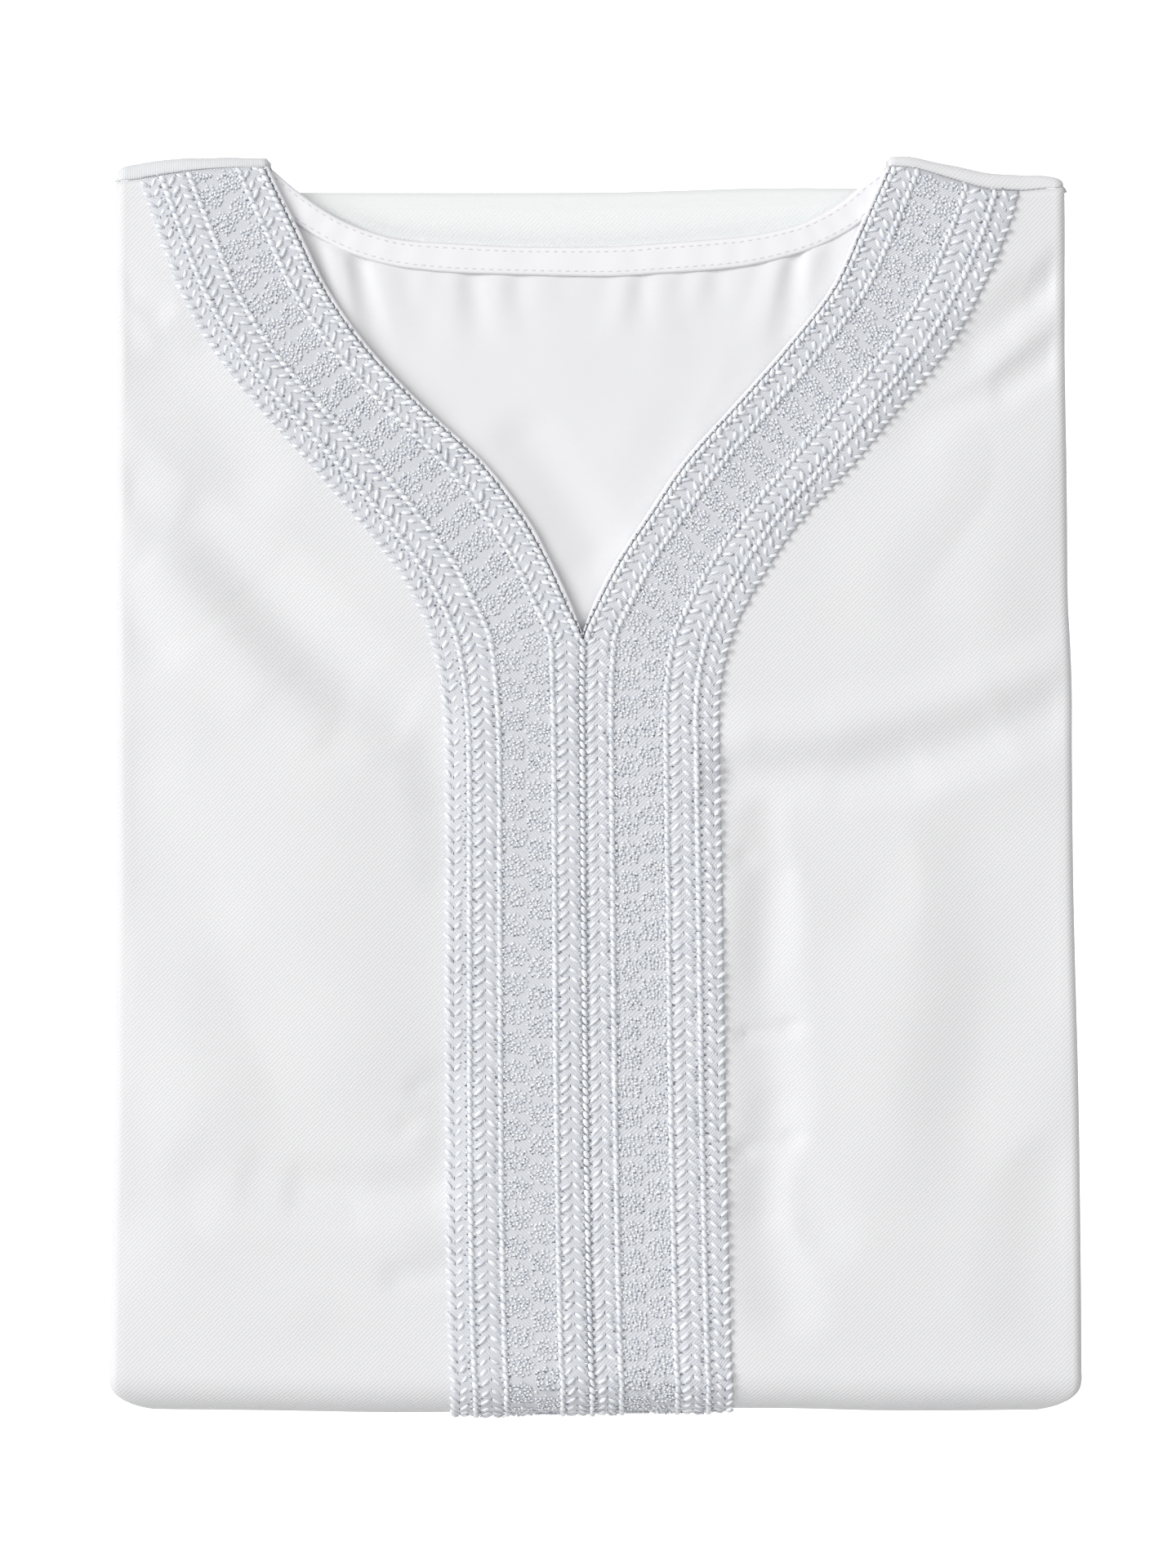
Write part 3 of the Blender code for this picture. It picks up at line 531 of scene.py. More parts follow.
white_twill = twill("white_cotton_twill", "#EEEEEF", "#E9E9EB", 45.0)
inner_twill = twill("white_cotton_twill_wrong_side", "#F0F0F2", "#ECECEF", -45.0, depth=0.012)
facing_twill = twill("white_cotton_facing_twill", "#F8F7FA", "#F4F3F6", 45.0, pitch=0.9, depth=0.012)
# Rolled over the left shoulder, the lines of the twill stand upright. This twill is painted a little darker:
# painted shade for the roll.
painted_shade_rolled_twill = twill("white_cotton_twill_rolled_painted_shade", "#EAEBED", "#E4E6E9", 0.0, pitch=0.7, depth=0.07)
# The folded layers and the lower hem, pressed flat behind the neck, are the same twill painted lighter: painted
# light, so that the hem shows as the brightest cloth.
painted_light_layer_twill = twill("white_cotton_layer_twill_painted_light", "#F6F8F8", "#F2F4F4", 45.0, depth=0.03)
print("twill lines every", TWILL_PITCH, "mm")

# %% Thread materials
# Viscose embroidery thread, mercerised smooth: bright along the stitch.
thread_silver = new_material("viscose_embroidery_thread", "#F5F6FA", 0.32, Sheen_Weight=0.1,
                             Specular_IOR_Level=0.6)
# The satin ground under the stitches, laid as close threads across the band.
satin_ground = new_material("viscose_satin_ground", "#DCDEE3", 0.45, Specular_IOR_Level=0.5)
# The pits where the needle went down: dark spots of painted shade, drawn a little larger than a needle so that
# they show.
needle_shade = new_material("needle_pit_shade", "#868B98", 0.8, Specular_IOR_Level=0.1)
# Bias-cut satin binding, rolled and pressed.
bias_satin = new_material("white_bias_binding", "#F2F2F5", 0.5, Specular_IOR_Level=0.4)
# Spun polyester sewing thread, white, painted a little grey as shade along its stitch rows.
sewing_thread_painted_grey = new_material("white_sewing_thread_painted_shade", "#E4E3E8", 0.5)

# Each length of thread gets a painted glint of its own, lighter or darker, and the painted shade of the pits is
# not everywhere as dark.
for material, scale, dark, light in ((thread_silver, 600.0, "#E6EAF1", "#FDFEFF"),
                                     (needle_shade, 500.0, "#767A86", "#B2B5BE")):
    place = add(material, "ShaderNodeTexCoord").outputs["Object"]
    mottle(material, place, scale, 1.0, dark, light, (0.36, 0.62))

ground_map = add(satin_ground, "ShaderNodeTexCoord").outputs["UV"]
ground_turned = add(satin_ground, "ShaderNodeMapping", {"Rotation": (0, 0, math.radians(50))},
                    Vector=ground_map)
ground_ribs = add(satin_ground, "ShaderNodeTexWave",
                  {"bands_direction": "Y", "Scale": bands(0.8), "Distortion": 0.8, "Detail": 1.0},
                  Vector=ground_turned.outputs[0])
ground_bump = add(satin_ground, "ShaderNodeBump", {"Distance": 0.08 * MM, "Strength": 1.0},
                  Height=ground_ribs.outputs["Fac"])
finish(satin_ground, Normal=ground_bump.outputs[0])

# %% [markdown]
# ## The front
#
# On the real robe the front is one length of twill, slit for the V neck. Here each half is a grid that runs from
# the shoulder seam down over the bottom fold, along the underside and round the fold behind. The halves are
# welded along the middle below the slit.

# %% Lay the front
front_rows = [("neck", t) for t in np.linspace(1, 0, 62) ** 1.05]
front_rows += [("below", t) for t in np.linspace(0, 1, 92)[1:]]
front_rows += [("turn", a) for a in np.linspace(0, math.pi, 23)[1:]]
front_rows += [("under", t) for t in np.linspace(0, 1, 27)[1:]]
front_rows += [("back_turn", a) for a in np.linspace(0, math.pi, 10)[1:]]
front_rows += [("inner", 0.02)]
half_shares = np.concatenate([np.linspace(0, 1, 19), np.linspace(1, 2, 43)[1:], np.linspace(2, 3, 11)[1:],
                              np.linspace(3, 4, 4)[1:]])
halves = []
for side in (-1, 1):
    points, flat = front_points(side, front_rows, half_shares)
    if side < 0:
        points, flat = points[:, ::-1], flat[:, ::-1]
    halves.append(lay_grid("front_cloth", points[::-1], flat[::-1]))
front_cloth = join_pieces(halves, 0.001)
thicken(front_cloth, CLOTH)
seat(front_cloth, white_twill, "white_twill", "front_panel")

# %% [markdown]
# ## The inner back, its gathers and the facing
#
# Through the neck one sees the wrong side of the back. It is gathered into the seam of a curved facing, so
# short soft ridges hang from the seam, deeper at both ends. The facing is sewn down along each edge.

# %% Lay the inner back
# Columns: x at the seam, x at the lower end, length, half width, height. A negative height is a hollow.
GATHERS = (
    (-92, -84, 40, 5, 0.9), (-79, -71, 36, 4.6, 1.7), (-73, -66, 38, 3, -1.3), (-65, -61, 26, 4, 0.6),
    (-52, -50, 15, 3.4, 0.5), (-44, -41, 24, 3.8, 0.8), (-38.5, -36.5, 22, 2.6, -0.5), (-30, -28, 26, 3.6, 0.7),
    (-24, -23.5, 15, 2.6, -0.3), (-16, -16, 11, 3.4, 0.4), (-3, -3, 8, 4.2, 0.2), (9, 8, 20, 3.4, 0.7),
    (14, 12.5, 18, 2.4, -0.4), (21, 20, 25, 3.6, 0.6), (32, 31, 15, 3.2, 0.6), (37, 36, 13, 2.4, -0.3),
    (45, 43, 13, 3.6, 0.4), (56, 53, 27, 4, 1.1), (61.5, 57, 34, 2.8, -1.3), (67, 61, 30, 4.2, 1.4),
    (79, 72, 34, 5, 0.8),
)
# The long shades that cross the inner back, in the same form as the creases on the front
BACK_CREASES = (
    (-37, 101, -16, 70, 11, -1.2, -8, 54, 8, -0.8), (-20, 106, 0, 74, 8, 0.8), (-14, 134, 6, 108, 12, -0.3),
    (30, 124, 18, 92, 9, 0.3), (66, 142, 44, 108, 12, 0.9, 26, 84, 10, 0.5),
)


def facing_lower_y(x):
    return curve(FACING, "lower_x", "lower_y", x)


def back_height(x, y):
    """Upper face of the inner back, with its gathers and creases."""
    below = facing_lower_y(x) - y
    total = np.zeros(np.shape(x))
    for top_x, end_x, length, half_width, height in GATHERS:
        t = np.clip(below / length, 0.0, 1.3)
        middle = mix(top_x, end_x, t)
        widen = 1 + 0.9 * t
        run = ease((below + 1.5) / 3.0) * ease((1.25 - t) / 0.9)
        total += height * run * ease(1 - np.abs(x - middle) / (1.7 * half_width * widen))
    inside = ease((below + 6.0) / 8.0)
    creases = trough_depth(BACK_CREASES, x, y)
    return BACK_HEIGHT + np.clip(total, -1.2, 1.5) * 0.85 - creases * inside + unevenness(x, y, 26.0, 0.25, 5.0)


def back_top_y(x):
    """Upper edge of the back: the neck scoop, and the shoulders on either side."""
    at_shoulder = curve(SHOULDER, "x", "edge_y", x) - SIDE_ROLL - ROLL_ROOM
    scoop = curve(FACING, "upper_x", "upper_y", x) - 0.2
    inside = (x > FACING["upper_x"][0]) & (x < FACING["upper_x"][-1])
    return np.where(inside, np.minimum(at_shoulder, scoop), at_shoulder)


back_xs = np.concatenate([np.linspace(-143.0, -96.0, 8)[:-1], np.linspace(-96.0, 84.0, 151),
                          np.linspace(84.0, 140.0, 9)[1:]])
back_x, back_share = np.meshgrid(back_xs, np.linspace(0, 1, 74))
back_y = mix(BACK_PANEL_LOW_Y, back_top_y(back_x), back_share)
room = top_height(back_x, back_y) - CLOTH - SEAM_GAP
back_points = np.stack([back_x, back_y, np.minimum(back_height(back_x, back_y), room)], axis=2)
inner_back = lay_grid("inner_back", back_points, back_points[..., :2])
thicken(inner_back, 0.9)
seat(inner_back, inner_twill, "white_twill_inner_face", "back_panel")

# %% Lay the facing
facing_along, facing_across = np.meshgrid(np.linspace(0, 15, 136), np.linspace(0, 1, 13), indexing="ij")


def facing_edge(name, along):
    return curve(FACING, "along", name, along)


def facing_place(along, across):
    """A point on top of the facing, with across running from the neck edge to the seam."""
    x = mix(facing_edge("upper_x", along), facing_edge("lower_x", along), across)
    y = mix(facing_edge("upper_y", along), facing_edge("lower_y", along), across)
    edge = 1 - ease(np.minimum(across, 1 - across) / 0.12)
    quilt = 0.08 * np.sin(along * 9.0) * ease(np.minimum(across, 1 - across) / 0.3)
    z = BACK_HEIGHT + SEAM_GAP + 0.75 - 0.35 * edge + quilt
    return np.stack([x, y, z], axis=-1)


facing_points = facing_place(facing_along, facing_across)
facing = lay_grid("back_neck_facing_cloth", facing_points.transpose(1, 0, 2)[::-1],
                  facing_points[..., :2].transpose(1, 0, 2)[::-1])
thicken(facing, 0.6)
seat(facing, facing_twill, "white_facing_twill", "back_neck_facing")

# %% [markdown]
# ## Shoulder strips and neck edging
#
# The shoulder seam sits a little in front of the fold, so a narrow strip of the back rolls forward over each
# shoulder. The V is bound with a narrow rolled edging that shows as a thin white bead inside the embroidery.


# %% Lay the shoulder strips
def shoulder_strip(name, inner, outer, node, material):
    xs = np.sort(mix(inner, outer, np.sin(np.linspace(0, math.pi / 2, 60))))
    angles = np.linspace(0, math.pi, 15)
    near_end = np.maximum(1 - np.abs(xs - outer) / SIDE_ROLL, 1 - np.abs(xs - inner) / 1.2).clip(0, 1)
    dip = SIDE_ROLL * (1 - np.sqrt(1 - near_end ** 2))
    centre = curve(SHOULDER, "x", "edge_y", xs) - SIDE_ROLL - 0.5 * dip
    seam = np.minimum(curve(SHOULDER, "x", "seam_y", xs) + 0.08, centre - 0.1)
    height = top_height(xs, seam) - 0.75 * dip
    wave = unevenness(xs, xs * 0, 9.0, 0.25, 3.0)
    lines, flat = [], []
    for share in (0.0, 0.35, 0.7):
        y = mix(seam, centre, share)
        lines.append(np.stack([xs, y, height + 0.2 * math.sin(math.pi * share)], axis=1))
        flat.append(np.stack([xs, y], axis=1))
    for angle in angles:
        depth = SIDE_ROLL * (1 - math.cos(angle))
        y = centre + (SIDE_ROLL + wave * math.sin(angle)) * math.sin(angle)
        lines.append(np.stack([xs, y, height - depth * side_squash(height)], axis=1))
        flat.append(np.stack([xs, centre + SIDE_ROLL * angle], axis=1))
    piece = lay_grid(name, np.array(lines), np.array(flat))
    thicken(piece, CLOTH)
    return seat(piece, material, "white_twill", node)


left_strip = shoulder_strip("left_shoulder_cloth", -99.4, -146.4, "left_shoulder_strip", painted_shade_rolled_twill)
right_strip = shoulder_strip("right_shoulder_cloth", 89.0, 143.4, "right_shoulder_strip", white_twill)


# %% Roll the neck edging
EDGING_ROWS = 90
EDGING_SIDES = 14


def neck_edging(name, side, node):
    """A soft bead from the tip of the V up to the shoulder, as a closed tube."""
    word = "left" if side < 0 else "right"
    rows = [("neck", t) for t in np.linspace(0, 1, EDGING_ROWS)]
    seam = front_points(side, rows, [0.0])[0][:, 0]
    # At the tip both edges of the bead move a little, so that the two beads meet.
    at_tip = ease(1 - np.arange(EDGING_ROWS) / 4.0)
    seam_x, seam_y, height = seam[:, 0] + side * 0.15 * at_tip, seam[:, 1] + 1.1 * at_tip, seam[:, 2]
    free_y = mix(OPENING_TIP_Y, seam[-1, 1], np.linspace(0, 1, EDGING_ROWS))
    free_x = curve(OPENING, "y", word, free_y) + side * 0.15 * at_tip
    middle = np.stack([(seam_x + free_x) / 2, (seam_y + free_y) / 2, height + 0.1], axis=1)
    half = np.stack([(free_x - seam_x) / 2, (free_y - seam_y) / 2, height * 0], axis=1)
    wave = 1 + unevenness(middle[:, 1], middle[:, 1] * 0, 6.0, 0.12, 8.0)
    around = []
    for n in range(EDGING_SIDES + 1):
        angle = 2 * math.pi * n / EDGING_SIDES
        wide = np.sign(math.cos(angle)) * abs(math.cos(angle)) ** 0.7
        tall = math.sin(angle)
        ring = middle + half * (1.04 * wide)
        ring[:, 2] += (1.05 * wave if tall > 0 else 1.25) * tall
        around.append(ring)
    around = np.array(around)
    piece = lay_grid(name, around, around[..., :2])
    close_tube(piece, 0.005, cap=True)
    return seat(piece, bias_satin, "white_rolled_edging", node)


left_edging = neck_edging("left_neck_binding", -1, "left_neck_edging")
right_edging = neck_edging("right_neck_binding", 1, "right_neck_edging")

# %% [markdown]
# ## The layers folded away
#
# From the sides one sees the edges of the layers: each layer of the pile holds several thicknesses of cloth that
# end in rounded folds. They follow the same path as the slab, and every fold runs in and out a little differently.

# %% Lay the hidden layers
FOLDS_IN_SLAB = 3
SLIT = 0.2
side_steps = np.linspace(0, 1, FOLDS_IN_SLAB * 6 + 1)


def slab_side(side, along, bare, seed):
    """How far each step down the slab's side is set in, so that the side shows separate rounded folds."""
    fold = np.minimum((side_steps * FOLDS_IN_SLAB).astype(int), FOLDS_IN_SLAB - 1)
    within = 2 * (side_steps * FOLDS_IN_SLAB - fold) - 1
    shy = np.array([noise.noise(Vector((along / 45.0, 7.0 * k + seed, side))) for k in range(FOLDS_IN_SLAB)])
    rough = np.array([noise.noise(Vector((along / 11.0, 3.0 * k + seed, side + 4.0)))
                      for k in range(FOLDS_IN_SLAB)])
    inset = 0.7 + 1.1 * shy[fold] + 0.25 * rough[fold] + 1.25 * np.abs(within) ** 3
    return np.maximum(inset, 0.0) if bare else np.full(side_steps.shape, 1.2)


def slab_ring(run, place, along, shut=False):
    """One closed section of the slab: across its outer face, down one side, back and up the other.

    A shut section lies flat in the middle of the slab, to close an end.
    """
    bare = run in ("nested_turn", "hem") or (run == "inner" and place > 0.02)
    rough_y = mix(float(turn_y(0.0)), BACK_FOLD_Y, place)
    room = 0.0 if bare else SIDE_ROLL + ROLL_ROOM
    shares = np.linspace(-1, 1, 16)[1:-1]
    left = float(side_of_slab(run, place, rough_y, -1)) + room
    right = float(side_of_slab(run, place, rough_y, 1)) - room
    left_in = left + slab_side(-1, along, bare, 1.0)
    right_in = right - slab_side(1, along, bare, 2.0)
    if shut:
        left_in, right_in = np.full(left_in.shape, left_in.mean()), np.full(right_in.shape, right_in.mean())
    top_xs = mix(left_in[0], right_in[0], (shares + 1) / 2)
    low_xs = mix(right_in[-1], left_in[-1], (shares + 1) / 2)
    shallow = SLIT if bare else CLOTH + SEAM_GAP
    end = ease((place - 0.985) / 0.015) * 1.6 if run == "hem" else 0.0
    down = mix(shallow + end, SLAB - SLIT - end, side_steps)
    xs = np.concatenate([top_xs, right_in, low_xs, left_in[::-1]])
    depths = np.concatenate([np.full(shares.shape, down[0]), down, np.full(shares.shape, down[-1]), down[::-1]])
    if run != "top":
        if shut:
            depths = np.full(depths.shape, SLAB / 2)
        return np.stack(np.broadcast_arrays(*point_in_fold(run, place, depths, xs)), axis=1)
    y = mix(turn_y(xs), back_top_y(xs), place)
    roof = NECK_CORE_HEIGHT if place > 0.55 else mix(PILE - 1.7, LAYER_ROOF, float(ease(place / 0.05)))
    down_share = np.full(xs.shape, 0.5) if shut else (depths - down[0]) / (down[-1] - down[0])
    return np.stack([xs, y, mix(roof, PILE - SLAB + SLIT, down_share)], axis=1)


layer_rows = [("top", t) for t in (1.0, 0.97, 0.85, 0.7, 0.56, 0.545, 0.3, 0.05, 0.035, 0.015, 0.0)]
layer_rows += [("turn", a) for a in np.linspace(0, math.pi, 15)[1:]]
layer_rows += [("under", t) for t in (0.25, 0.5, 0.75, 1.0)]
layer_rows += [("back_turn", a) for a in np.linspace(0, math.pi, 11)[1:]]
layer_rows += [("inner", 0.021)] + [("inner", t) for t in np.linspace(0.028, 1, 66)]
layer_rows += [("nested_turn", a) for a in np.linspace(0, math.pi, 11)[1:]]
layer_rows += [("hem", t) for t in np.linspace(0, 0.985, 66)[1:]] + [("hem", 0.99), ("hem", 0.995), ("hem", 1.0)]
rings = [slab_ring(run, place, 6.0 * n) for n, (run, place) in enumerate(layer_rows)]
rings.insert(0, slab_ring(*layer_rows[0], 0.0, shut=True))
rings.append(slab_ring(*layer_rows[-1], 6.0 * len(layer_rows), shut=True))
rings = np.array([np.vstack([ring, ring[:1]]) for ring in rings])
layer_far = np.broadcast_to((np.arange(len(rings)) * 5.5)[:, None], rings.shape[:2])
folded_cloth = lay_grid("folded_cloth_layers", rings, np.stack([rings[..., 0], layer_far], axis=2))
close_tube(folded_cloth, 0.002)
seat(folded_cloth, painted_light_layer_twill, "white_twill", "folded_layers")

# %% [markdown]
# ## Embroidered bands
#
# The band is satin ground with ropes, chevrons and seed rosettes stitched on it. The ground is a thin sheet that
# copies the front's own points, moved out.

# %% Lay the satin ground
# Height of the ground over the cloth, at shares of the band's width
GROUND = {"share": (0.0, 0.03, 0.104, 0.19, 0.23, 0.61, 0.64, 0.715, 0.83, 0.90, 0.96, 0.985, 1.0),
          "height": (0.62, 0.75, 0.95, 0.8, 0.62, 0.62, 0.8, 0.95, 0.72, 0.64, 0.54, 0.42, -0.1)}
band_rows = [row for row in front_rows if row[0] in ("neck", "below")]
band_rows += [row for row in front_rows if row[0] == "turn" and row[1] <= math.radians(BAND_END_ANGLE)]


def band_surface(side, rows, shares, lift=0.0):
    """Points on the ground of the band, and the direction that faces out of it at each."""
    shares = np.asarray(shares, float)
    shares_in = 0.004 + 0.984 * shares
    on_cloth = front_points(side, rows, shares_in)[0]
    above = front_points(side, rows, shares_in, 1.0)[0]
    out = above - on_cloth
    out /= np.linalg.norm(out, axis=2, keepdims=True)
    height = SEAM_GAP + curve(GROUND, "share", "height", shares) + lift
    return on_cloth + out * height[None, :, None], out


def along_line(points):
    """Distance along each column of points, in mm."""
    steps = np.linalg.norm(np.diff(points, axis=0), axis=2)
    return np.vstack([np.zeros(steps.shape[1]), np.cumsum(steps, axis=0)])


def satin_band(name, side, node):
    shares = np.append(np.linspace(0, 0.985, 30), 1.0)
    points, out = band_surface(side, band_rows, shares)
    far = along_line(points)
    flat = np.stack([np.broadcast_to(shares * BAND_WIDTH, far.shape), far], axis=2)
    if side < 0:
        points, flat = points[:, ::-1], flat[:, ::-1]
    piece = lay_grid(name, points[::-1], flat[::-1])
    thicken(piece, 0.3)
    return seat(piece, satin_ground, "silver_embroidery", node)


left_ground = satin_band("left_band_ground", -1, "left_embroidered_band")
right_ground = satin_band("right_band_ground", 1, "right_embroidered_band")

# %% [markdown]
# ## Stitches
#
# One stitch is modelled once: a low sphere stretched into a short thread that dives at both ends. It is then
# copied along every line of the band by its two ends, its width and its height. Chevrons lean like a caret.
# The outermost column leans like a V and makes the toothed edge. Ropes are short leaning stitches one after
# the other, and rosettes are rings of seeds.


# %% One stitch
def model_stitch(name, segments, rings):
    """One stitch along x, one unit long, wide and high, with its ends turned down."""
    deselect()
    bpy.ops.mesh.primitive_uv_sphere_add(segments=segments, ring_count=rings, radius=0.5)
    stitch = bpy.context.object
    stitch.name = name
    bpy.ops.object.mode_set(mode="EDIT")
    bpy.ops.mesh.select_all(action="SELECT")
    bpy.ops.transform.rotate(value=math.radians(90), orient_axis="Y", center_override=(0, 0, 0))
    bpy.ops.mesh.quads_convert_to_tris()
    bpy.ops.object.mode_set(mode="OBJECT")
    points = np.zeros(len(stitch.data.vertices) * 3)
    stitch.data.vertices.foreach_get("co", points)
    points = points.reshape(-1, 3)
    points[:, 2] -= 1.1 * points[:, 0] ** 2
    faces = [tuple(face.vertices) for face in stitch.data.polygons]
    bpy.data.objects.remove(stitch)
    return points, faces


long_stitch = model_stitch("long_stitch", 7, 5)
seed_stitch = model_stitch("seed_stitch", 5, 3)
pit_shape = model_stitch("pit", 6, 2)
print("triangles in a stitch, a seed and a pit:", len(long_stitch[1]), len(seed_stitch[1]), len(pit_shape[1]))


def copy_stitches(name, shape, starts, ends, outs, widths, heights):
    """Copies of one stitch between pairs of points, as one mesh."""
    starts, ends, outs = np.array(starts), np.array(ends), np.array(outs)
    widths, heights = np.array(widths)[:, None, None], np.array(heights)[:, None, None]
    run = ends - starts
    length = np.linalg.norm(run, axis=1, keepdims=True)
    forward = run / length
    sideways = np.cross(outs, forward)
    sideways /= np.linalg.norm(sideways, axis=1, keepdims=True)
    upward = np.cross(forward, sideways)
    points, faces = shape
    middle = (starts + ends) / 2
    placed = (middle[:, None] + points[None, :, :1] * run[:, None]
              + points[None, :, 1:2] * widths * sideways[:, None]
              + points[None, :, 2:] * heights * upward[:, None])
    count, each = placed.shape[:2]
    corners = (np.array(faces)[None] + (np.arange(count) * each)[:, None, None]).reshape(-1, 3)
    places = (placed.reshape(-1, 3) - [0, MIDDLE_Y, 0]) * MM
    data = bpy.data.meshes.new(name)
    data.vertices.add(count * each)
    data.vertices.foreach_set("co", places.astype(np.float32).ravel())
    data.loops.add(corners.size)
    data.loops.foreach_set("vertex_index", corners.astype(np.int32).ravel())
    data.polygons.add(len(corners))
    data.polygons.foreach_set("loop_start", (np.arange(len(corners)) * 3).astype(np.int32))
    data.update(calc_edges=True)
    data.shade_smooth()
    piece = bpy.data.objects.new(name, data)
    bpy.context.scene.collection.objects.link(piece)
    return piece


# %% Lines along the band
line_rows = [("neck", t) for t in np.linspace(1, 0, 150)] + [("below", t) for t in np.linspace(0, 1, 180)[1:]]
line_rows += [("turn", a) for a in np.linspace(0, math.radians(BAND_END_ANGLE), 40)[1:]]
line_shares = np.linspace(0, 1, 41)
surfaces = {side: band_surface(side, line_rows, line_shares) for side in (-1, 1)}


def on_line(side, share, pitch, shift=0.0):
    """Places at a pitch along a line of the band: point, ways down, across and out, and the band's width."""
    points, outs = surfaces[side]
    k = share * (len(line_shares) - 1)
    low = min(int(k), len(line_shares) - 2)
    line = mix(points[:, low], points[:, low + 1], k - low)
    out = mix(outs[:, low], outs[:, low + 1], k - low)
    span = points[:, -1] - points[:, 0]
    far = along_line(line[:, None])[:, 0]
    count = int(far[-1] / pitch)
    at = (np.arange(-1, count) + 0.5 + shift) * far[-1] / count
    at = at[(at >= 0) & (at < far[-1] - 0.3 * pitch)]
    rows = np.interp(at, far, np.arange(len(far)))

    def sample(values):
        i = np.minimum(rows.astype(int), len(values) - 2)
        return mix(values[i], values[i + 1], (rows - i)[:, None])

    place, way_out, across_band = sample(line), sample(out), sample(span)
    down = sample(np.gradient(line, axis=0))
    down /= np.linalg.norm(down, axis=1, keepdims=True)
    across = np.cross(way_out, down)
    across /= np.linalg.norm(across, axis=1, keepdims=True)
    across *= np.sign((across * across_band).sum(1, keepdims=True))
    width = (across * across_band).sum(1)
    return place, down, across, way_out, width


# %% Stitch the chevrons, ropes and rosettes
CHEVRON_PITCH = 3.3
ROPE_PITCH = 2.4
ROSETTE_PITCH = 8.85
# Columns of chevrons: middle and half width as shares of the band, 1 to lean like a caret or -1 like a V
CHEVRONS = ((0.104, 0.078, 1), (0.715, 0.082, 1), (0.944, 0.070, -1))
ROPES = (0.0, 0.207, 0.606, 0.828)
# Columns of rosettes: share, and how far along the first one is set, as a share of the pitch
ROSETTES = ((0.312, 0.0), (0.503, 0.5))
SEEDS = 40
draw = np.random.default_rng(7)


def stitch_band(side):
    word = "left" if side < 0 else "right"
    # The pits are dark spots of painted shade beside the stitches.
    arms, ropes, seeds, shade_pits = ([[] for k in range(5)] for kind in range(4))

    def put(kind, start, end, out, width, height):
        uneven = draw.uniform(0.82, 1.18, (2, len(start)))
        for store, value in zip(kind, (start, end, out, width * uneven[0], height * uneven[1])):
            store.append(value)

    for share, half_share, lean in CHEVRONS:
        place, down, across, out, width = on_line(side, share, CHEVRON_PITCH)
        half = (half_share * width)[:, None]
        rise = 1.05 * lean
        for way in (-1, 1):
            jitter, twist = draw.normal(0, 0.14, (2, len(place), 3))
            apex = place + across * way * 0.45 - down * rise + out * 0.3
            foot = place + across * way * half * 0.92 + down * rise + out * 0.05
            put(arms, apex + jitter + twist, foot + jitter - twist, out, 1.25, 1.1)
            if 0.1 < share + way * half_share < 0.95:
                spot = foot + down * 0.5 * lean + jitter * 2
                put(shade_pits, spot - across * 0.6, spot + across * 0.4, out, 0.5, 0.35)
        tip = place - down * rise
        put(shade_pits, tip - down * 0.6, tip + down * 0.8, out, 0.34, 0.3)
    for share in ROPES:
        place, down, across, out, width = on_line(side, share, ROPE_PITCH)
        if share == 0.0:
            above_tip = place[:, 1] > NECK_TIP_Y + 1.0
            keep = above_tip | (side < 0)
            shift = np.where(above_tip, 0.9, -0.17)[:, None]
            place = place + across * shift + out * 0.3
            place, down, across, out = place[keep], down[keep], across[keep], out[keep]
        lean = 1.3 * down + 0.66 * across * side + draw.normal(0, 0.08, place.shape)
        put(ropes, place - lean + out * 0.35, place + lean + out * 0.35, out, 1.55, 1.3)
        for way, drop in ((1, 0.6), (-1, -0.5)):
            spot = place + across * side * way * 1.25 + down * drop + draw.normal(0, 0.14, place.shape)
            put(shade_pits, spot - across * 0.45, spot + across * 0.45, out, 0.55, 0.35)
            spot = spot - down * 0.85
            put(seeds, spot - across * 0.55, spot + across * 0.55, out, 0.45, 0.6)
    for share, shift in ROSETTES:
        place, down, across, out, width = on_line(side, share, ROSETTE_PITCH, shift)
        size = (width / BAND_WIDTH)[:, None]
        for n in range(SEEDS):
            reach, turn = math.sqrt((n + 0.5) / SEEDS), 2.4 * n
            jitter = draw.normal(0, 0.25, (len(place), 2))
            spot = place + across * (4.3 * reach * math.cos(turn) * size + jitter[:, :1])
            spot = spot + down * (3.75 * reach * math.sin(turn) + jitter[:, 1:])
            lean = draw.uniform(-0.7, 0.7, len(place))[:, None]
            half = (across * np.cos(lean) + down * np.sin(lean)) * 0.52
            half = half[keep := spot[:, 1] < curve(SHOULDER, "x", "seam_y", spot[:, 0]) - 0.9]
            spot, out_here, across_here = spot[keep], out[keep], across[keep]
            put(seeds, spot - half + out_here * 0.24, spot + half + out_here * 0.24, out_here, 0.85, 0.65)
            spot = spot + down[keep] * 0.62 + across_here * 0.25
            if n % 2:
                put(shade_pits, spot - across_here * 0.38, spot + across_here * 0.38, out_here, 0.5, 0.35)
    made = []
    for label, shape, kind, material in (("chevrons", long_stitch, arms, thread_silver),
                                         ("ropes", long_stitch, ropes, thread_silver),
                                         ("rosettes", seed_stitch, seeds, thread_silver),
                                         ("needle_pits_painted_shade", pit_shape, shade_pits, needle_shade)):
        piece = copy_stitches(f"{word}_band_{label}", shape, *[np.concatenate(values) for values in kind])
        made.append(seat(piece, material, "silver_embroidery"))
    return made


left_stitches = stitch_band(-1)
right_stitches = stitch_band(1)

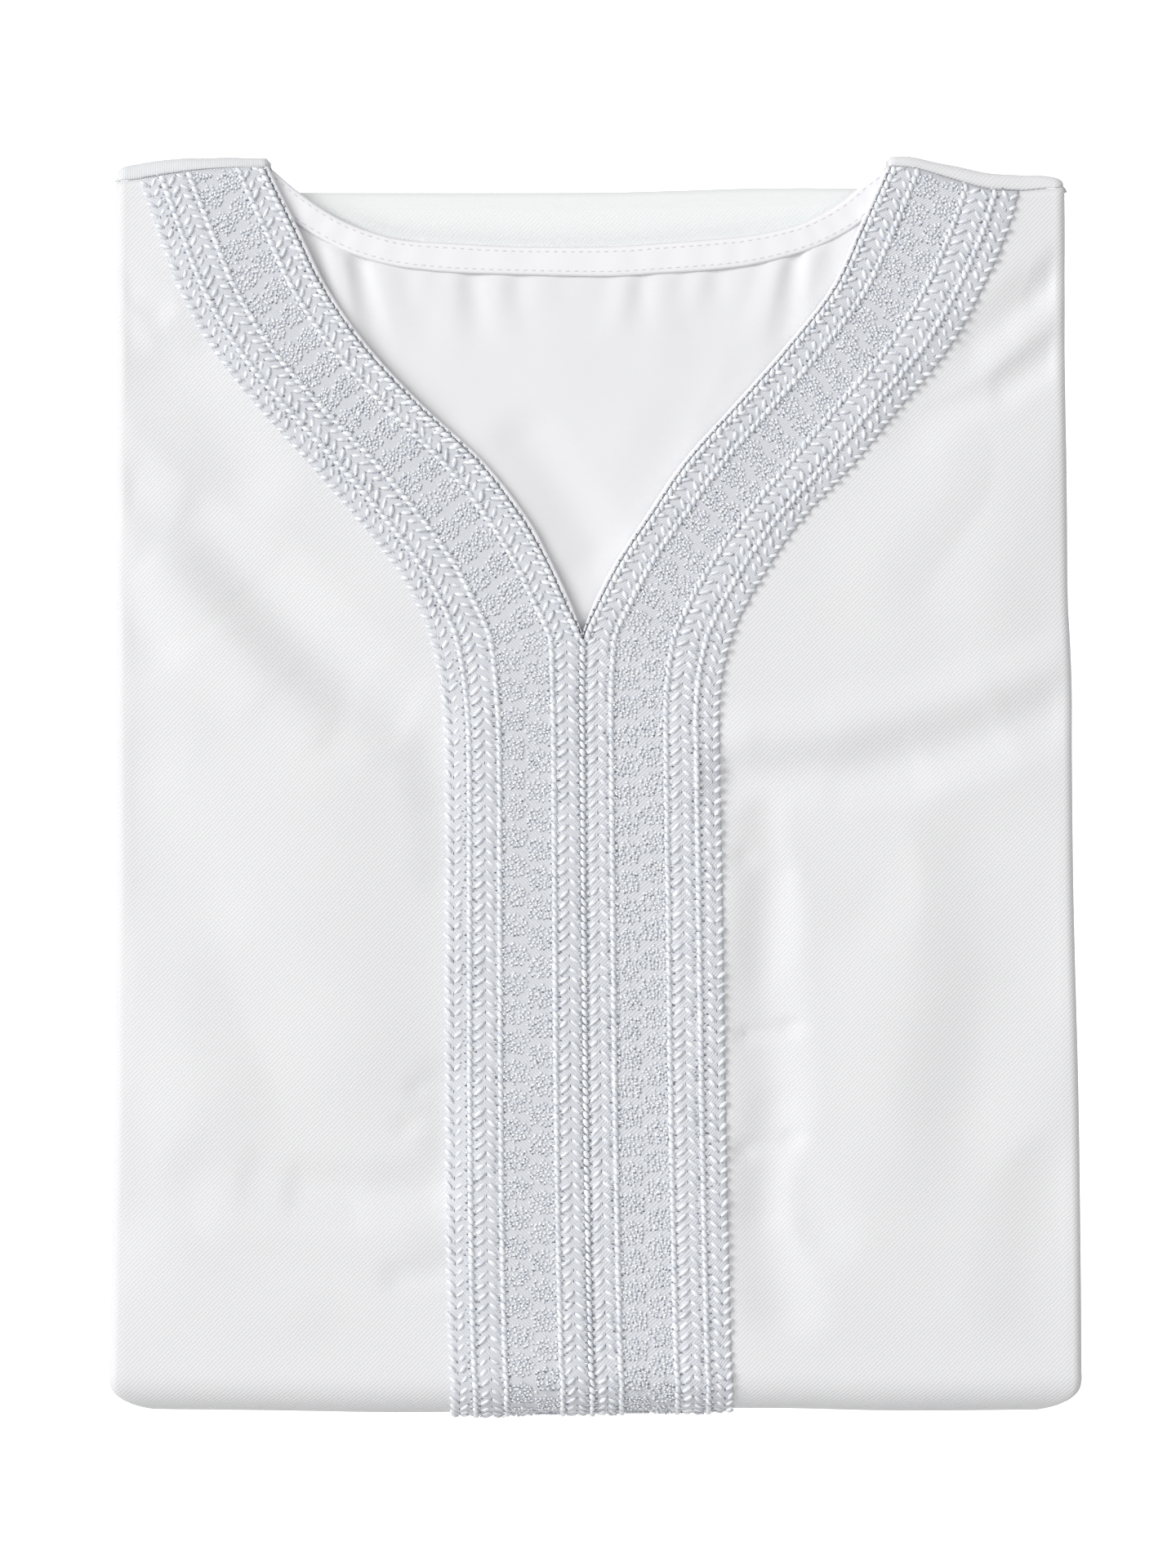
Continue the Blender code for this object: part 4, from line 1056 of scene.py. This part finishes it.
# %% Stitch the facing down
# Two rows of lockstitch, one along each edge, 2.6 mm from stitch to stitch.
starts, ends = [], []
for across in (0.17, 0.83):
    fine = np.linspace(0.15, 14.85, 900)
    path = facing_place(fine, np.full(fine.shape, across))
    far = along_line(path[:, None])[:, 0]
    for begin in np.arange(0.5, far[-1] - 2.2, 2.6):
        for store, at in ((starts, begin), (ends, begin + 1.9)):
            store.append([np.interp(at, far, path[:, k]) for k in range(3)])
count = len(starts)
facing_stitches = copy_stitches("facing_stitch_rows", seed_stitch, starts, ends, np.tile([0, 0, 1.0], (count, 1)),
                                np.full(count, 0.42), np.full(count, 0.3))
seat(facing_stitches, sewing_thread_painted_grey, "white_facing_twill")

# %% [markdown]

# %% [markdown]
# ## Table, light and camera
#
# The photograph is a cut-out on pure white, lit softly from the left. The table is white and glows a little,
# so that hardly any shadow shows. The camera looks straight down, at a quarter of a millimetre a pixel.

# %% Table, light and camera
FRAME_HEIGHT = 0.480
FRONT_HEIGHT = 0.022
SENSOR = 36.0
CAMERA_HEIGHT = 2.0
LOOK_X, LOOK_Y = -0.00225, 0.000975

deselect()
bpy.ops.mesh.primitive_plane_add(size=6.0, location=(0, 0, -0.0002))
table = bpy.context.object
table.name = "white_table"
table.data.materials.append(new_material("white_laminate", "#FFFFFF", 0.9, Specular_IOR_Level=0.1,
                                         Emission_Color=(1, 1, 1, 1), Emission_Strength=0.8))
table.visible_diffuse = False


def area_light(name, place, target, size, power):
    data = bpy.data.lights.new(name, "AREA")
    data.shape, data.size, data.energy = "DISK", size, power
    lamp = bpy.data.objects.new(name, data)
    bpy.context.scene.collection.objects.link(lamp)
    lamp.location = place
    lamp.rotation_euler = (Vector(target) - Vector(place)).to_track_quat("-Z", "Y").to_euler()


area_light("light_upper_left", (-6.30, 3.14, 5.92), (0.0, 0.03, 0), 5.6, 555.0)
area_light("light_lower_left", (-4.8, -4.8, 4.8), (0.0, -0.05, 0), 4.8, 130.0)
area_light("light_upper_right", (5.6, 4.4, 4.6), (0.0, 0.06, 0), 4.0, 45.0)
world = bpy.data.worlds.new("soft_room")
world.use_nodes = True
sky_direction = add(world, "ShaderNodeTexCoord").outputs["Generated"]
sky_height = add(world, "ShaderNodeSeparateXYZ", Vector=sky_direction)
# The room is brightest overhead, and dim at the height of the table.
sky_strength = add(world, "ShaderNodeMapRange",
                   {"From Min": -0.2, "From Max": 1.0, "To Min": 0.39, "To Max": 0.48},
                   Value=sky_height.outputs["Z"])
sky = world.node_tree.nodes["Background"]
world.node_tree.links.new(sky_strength.outputs[0], sky.inputs["Strength"])
sky.inputs["Color"].default_value = (1, 1, 1, 1)
bpy.context.scene.world = world
bpy.context.scene.view_settings.view_transform = "Standard"

camera_data = bpy.data.cameras.new("camera_above")
camera_data.sensor_fit = "VERTICAL"
camera_data.sensor_height = SENSOR
camera_data.lens = SENSOR * (CAMERA_HEIGHT - FRONT_HEIGHT) / FRAME_HEIGHT
camera = bpy.data.objects.new("camera_above", camera_data)
bpy.context.scene.collection.objects.link(camera)
camera.location = (LOOK_X, LOOK_Y, CAMERA_HEIGHT)
bpy.context.scene.camera = camera
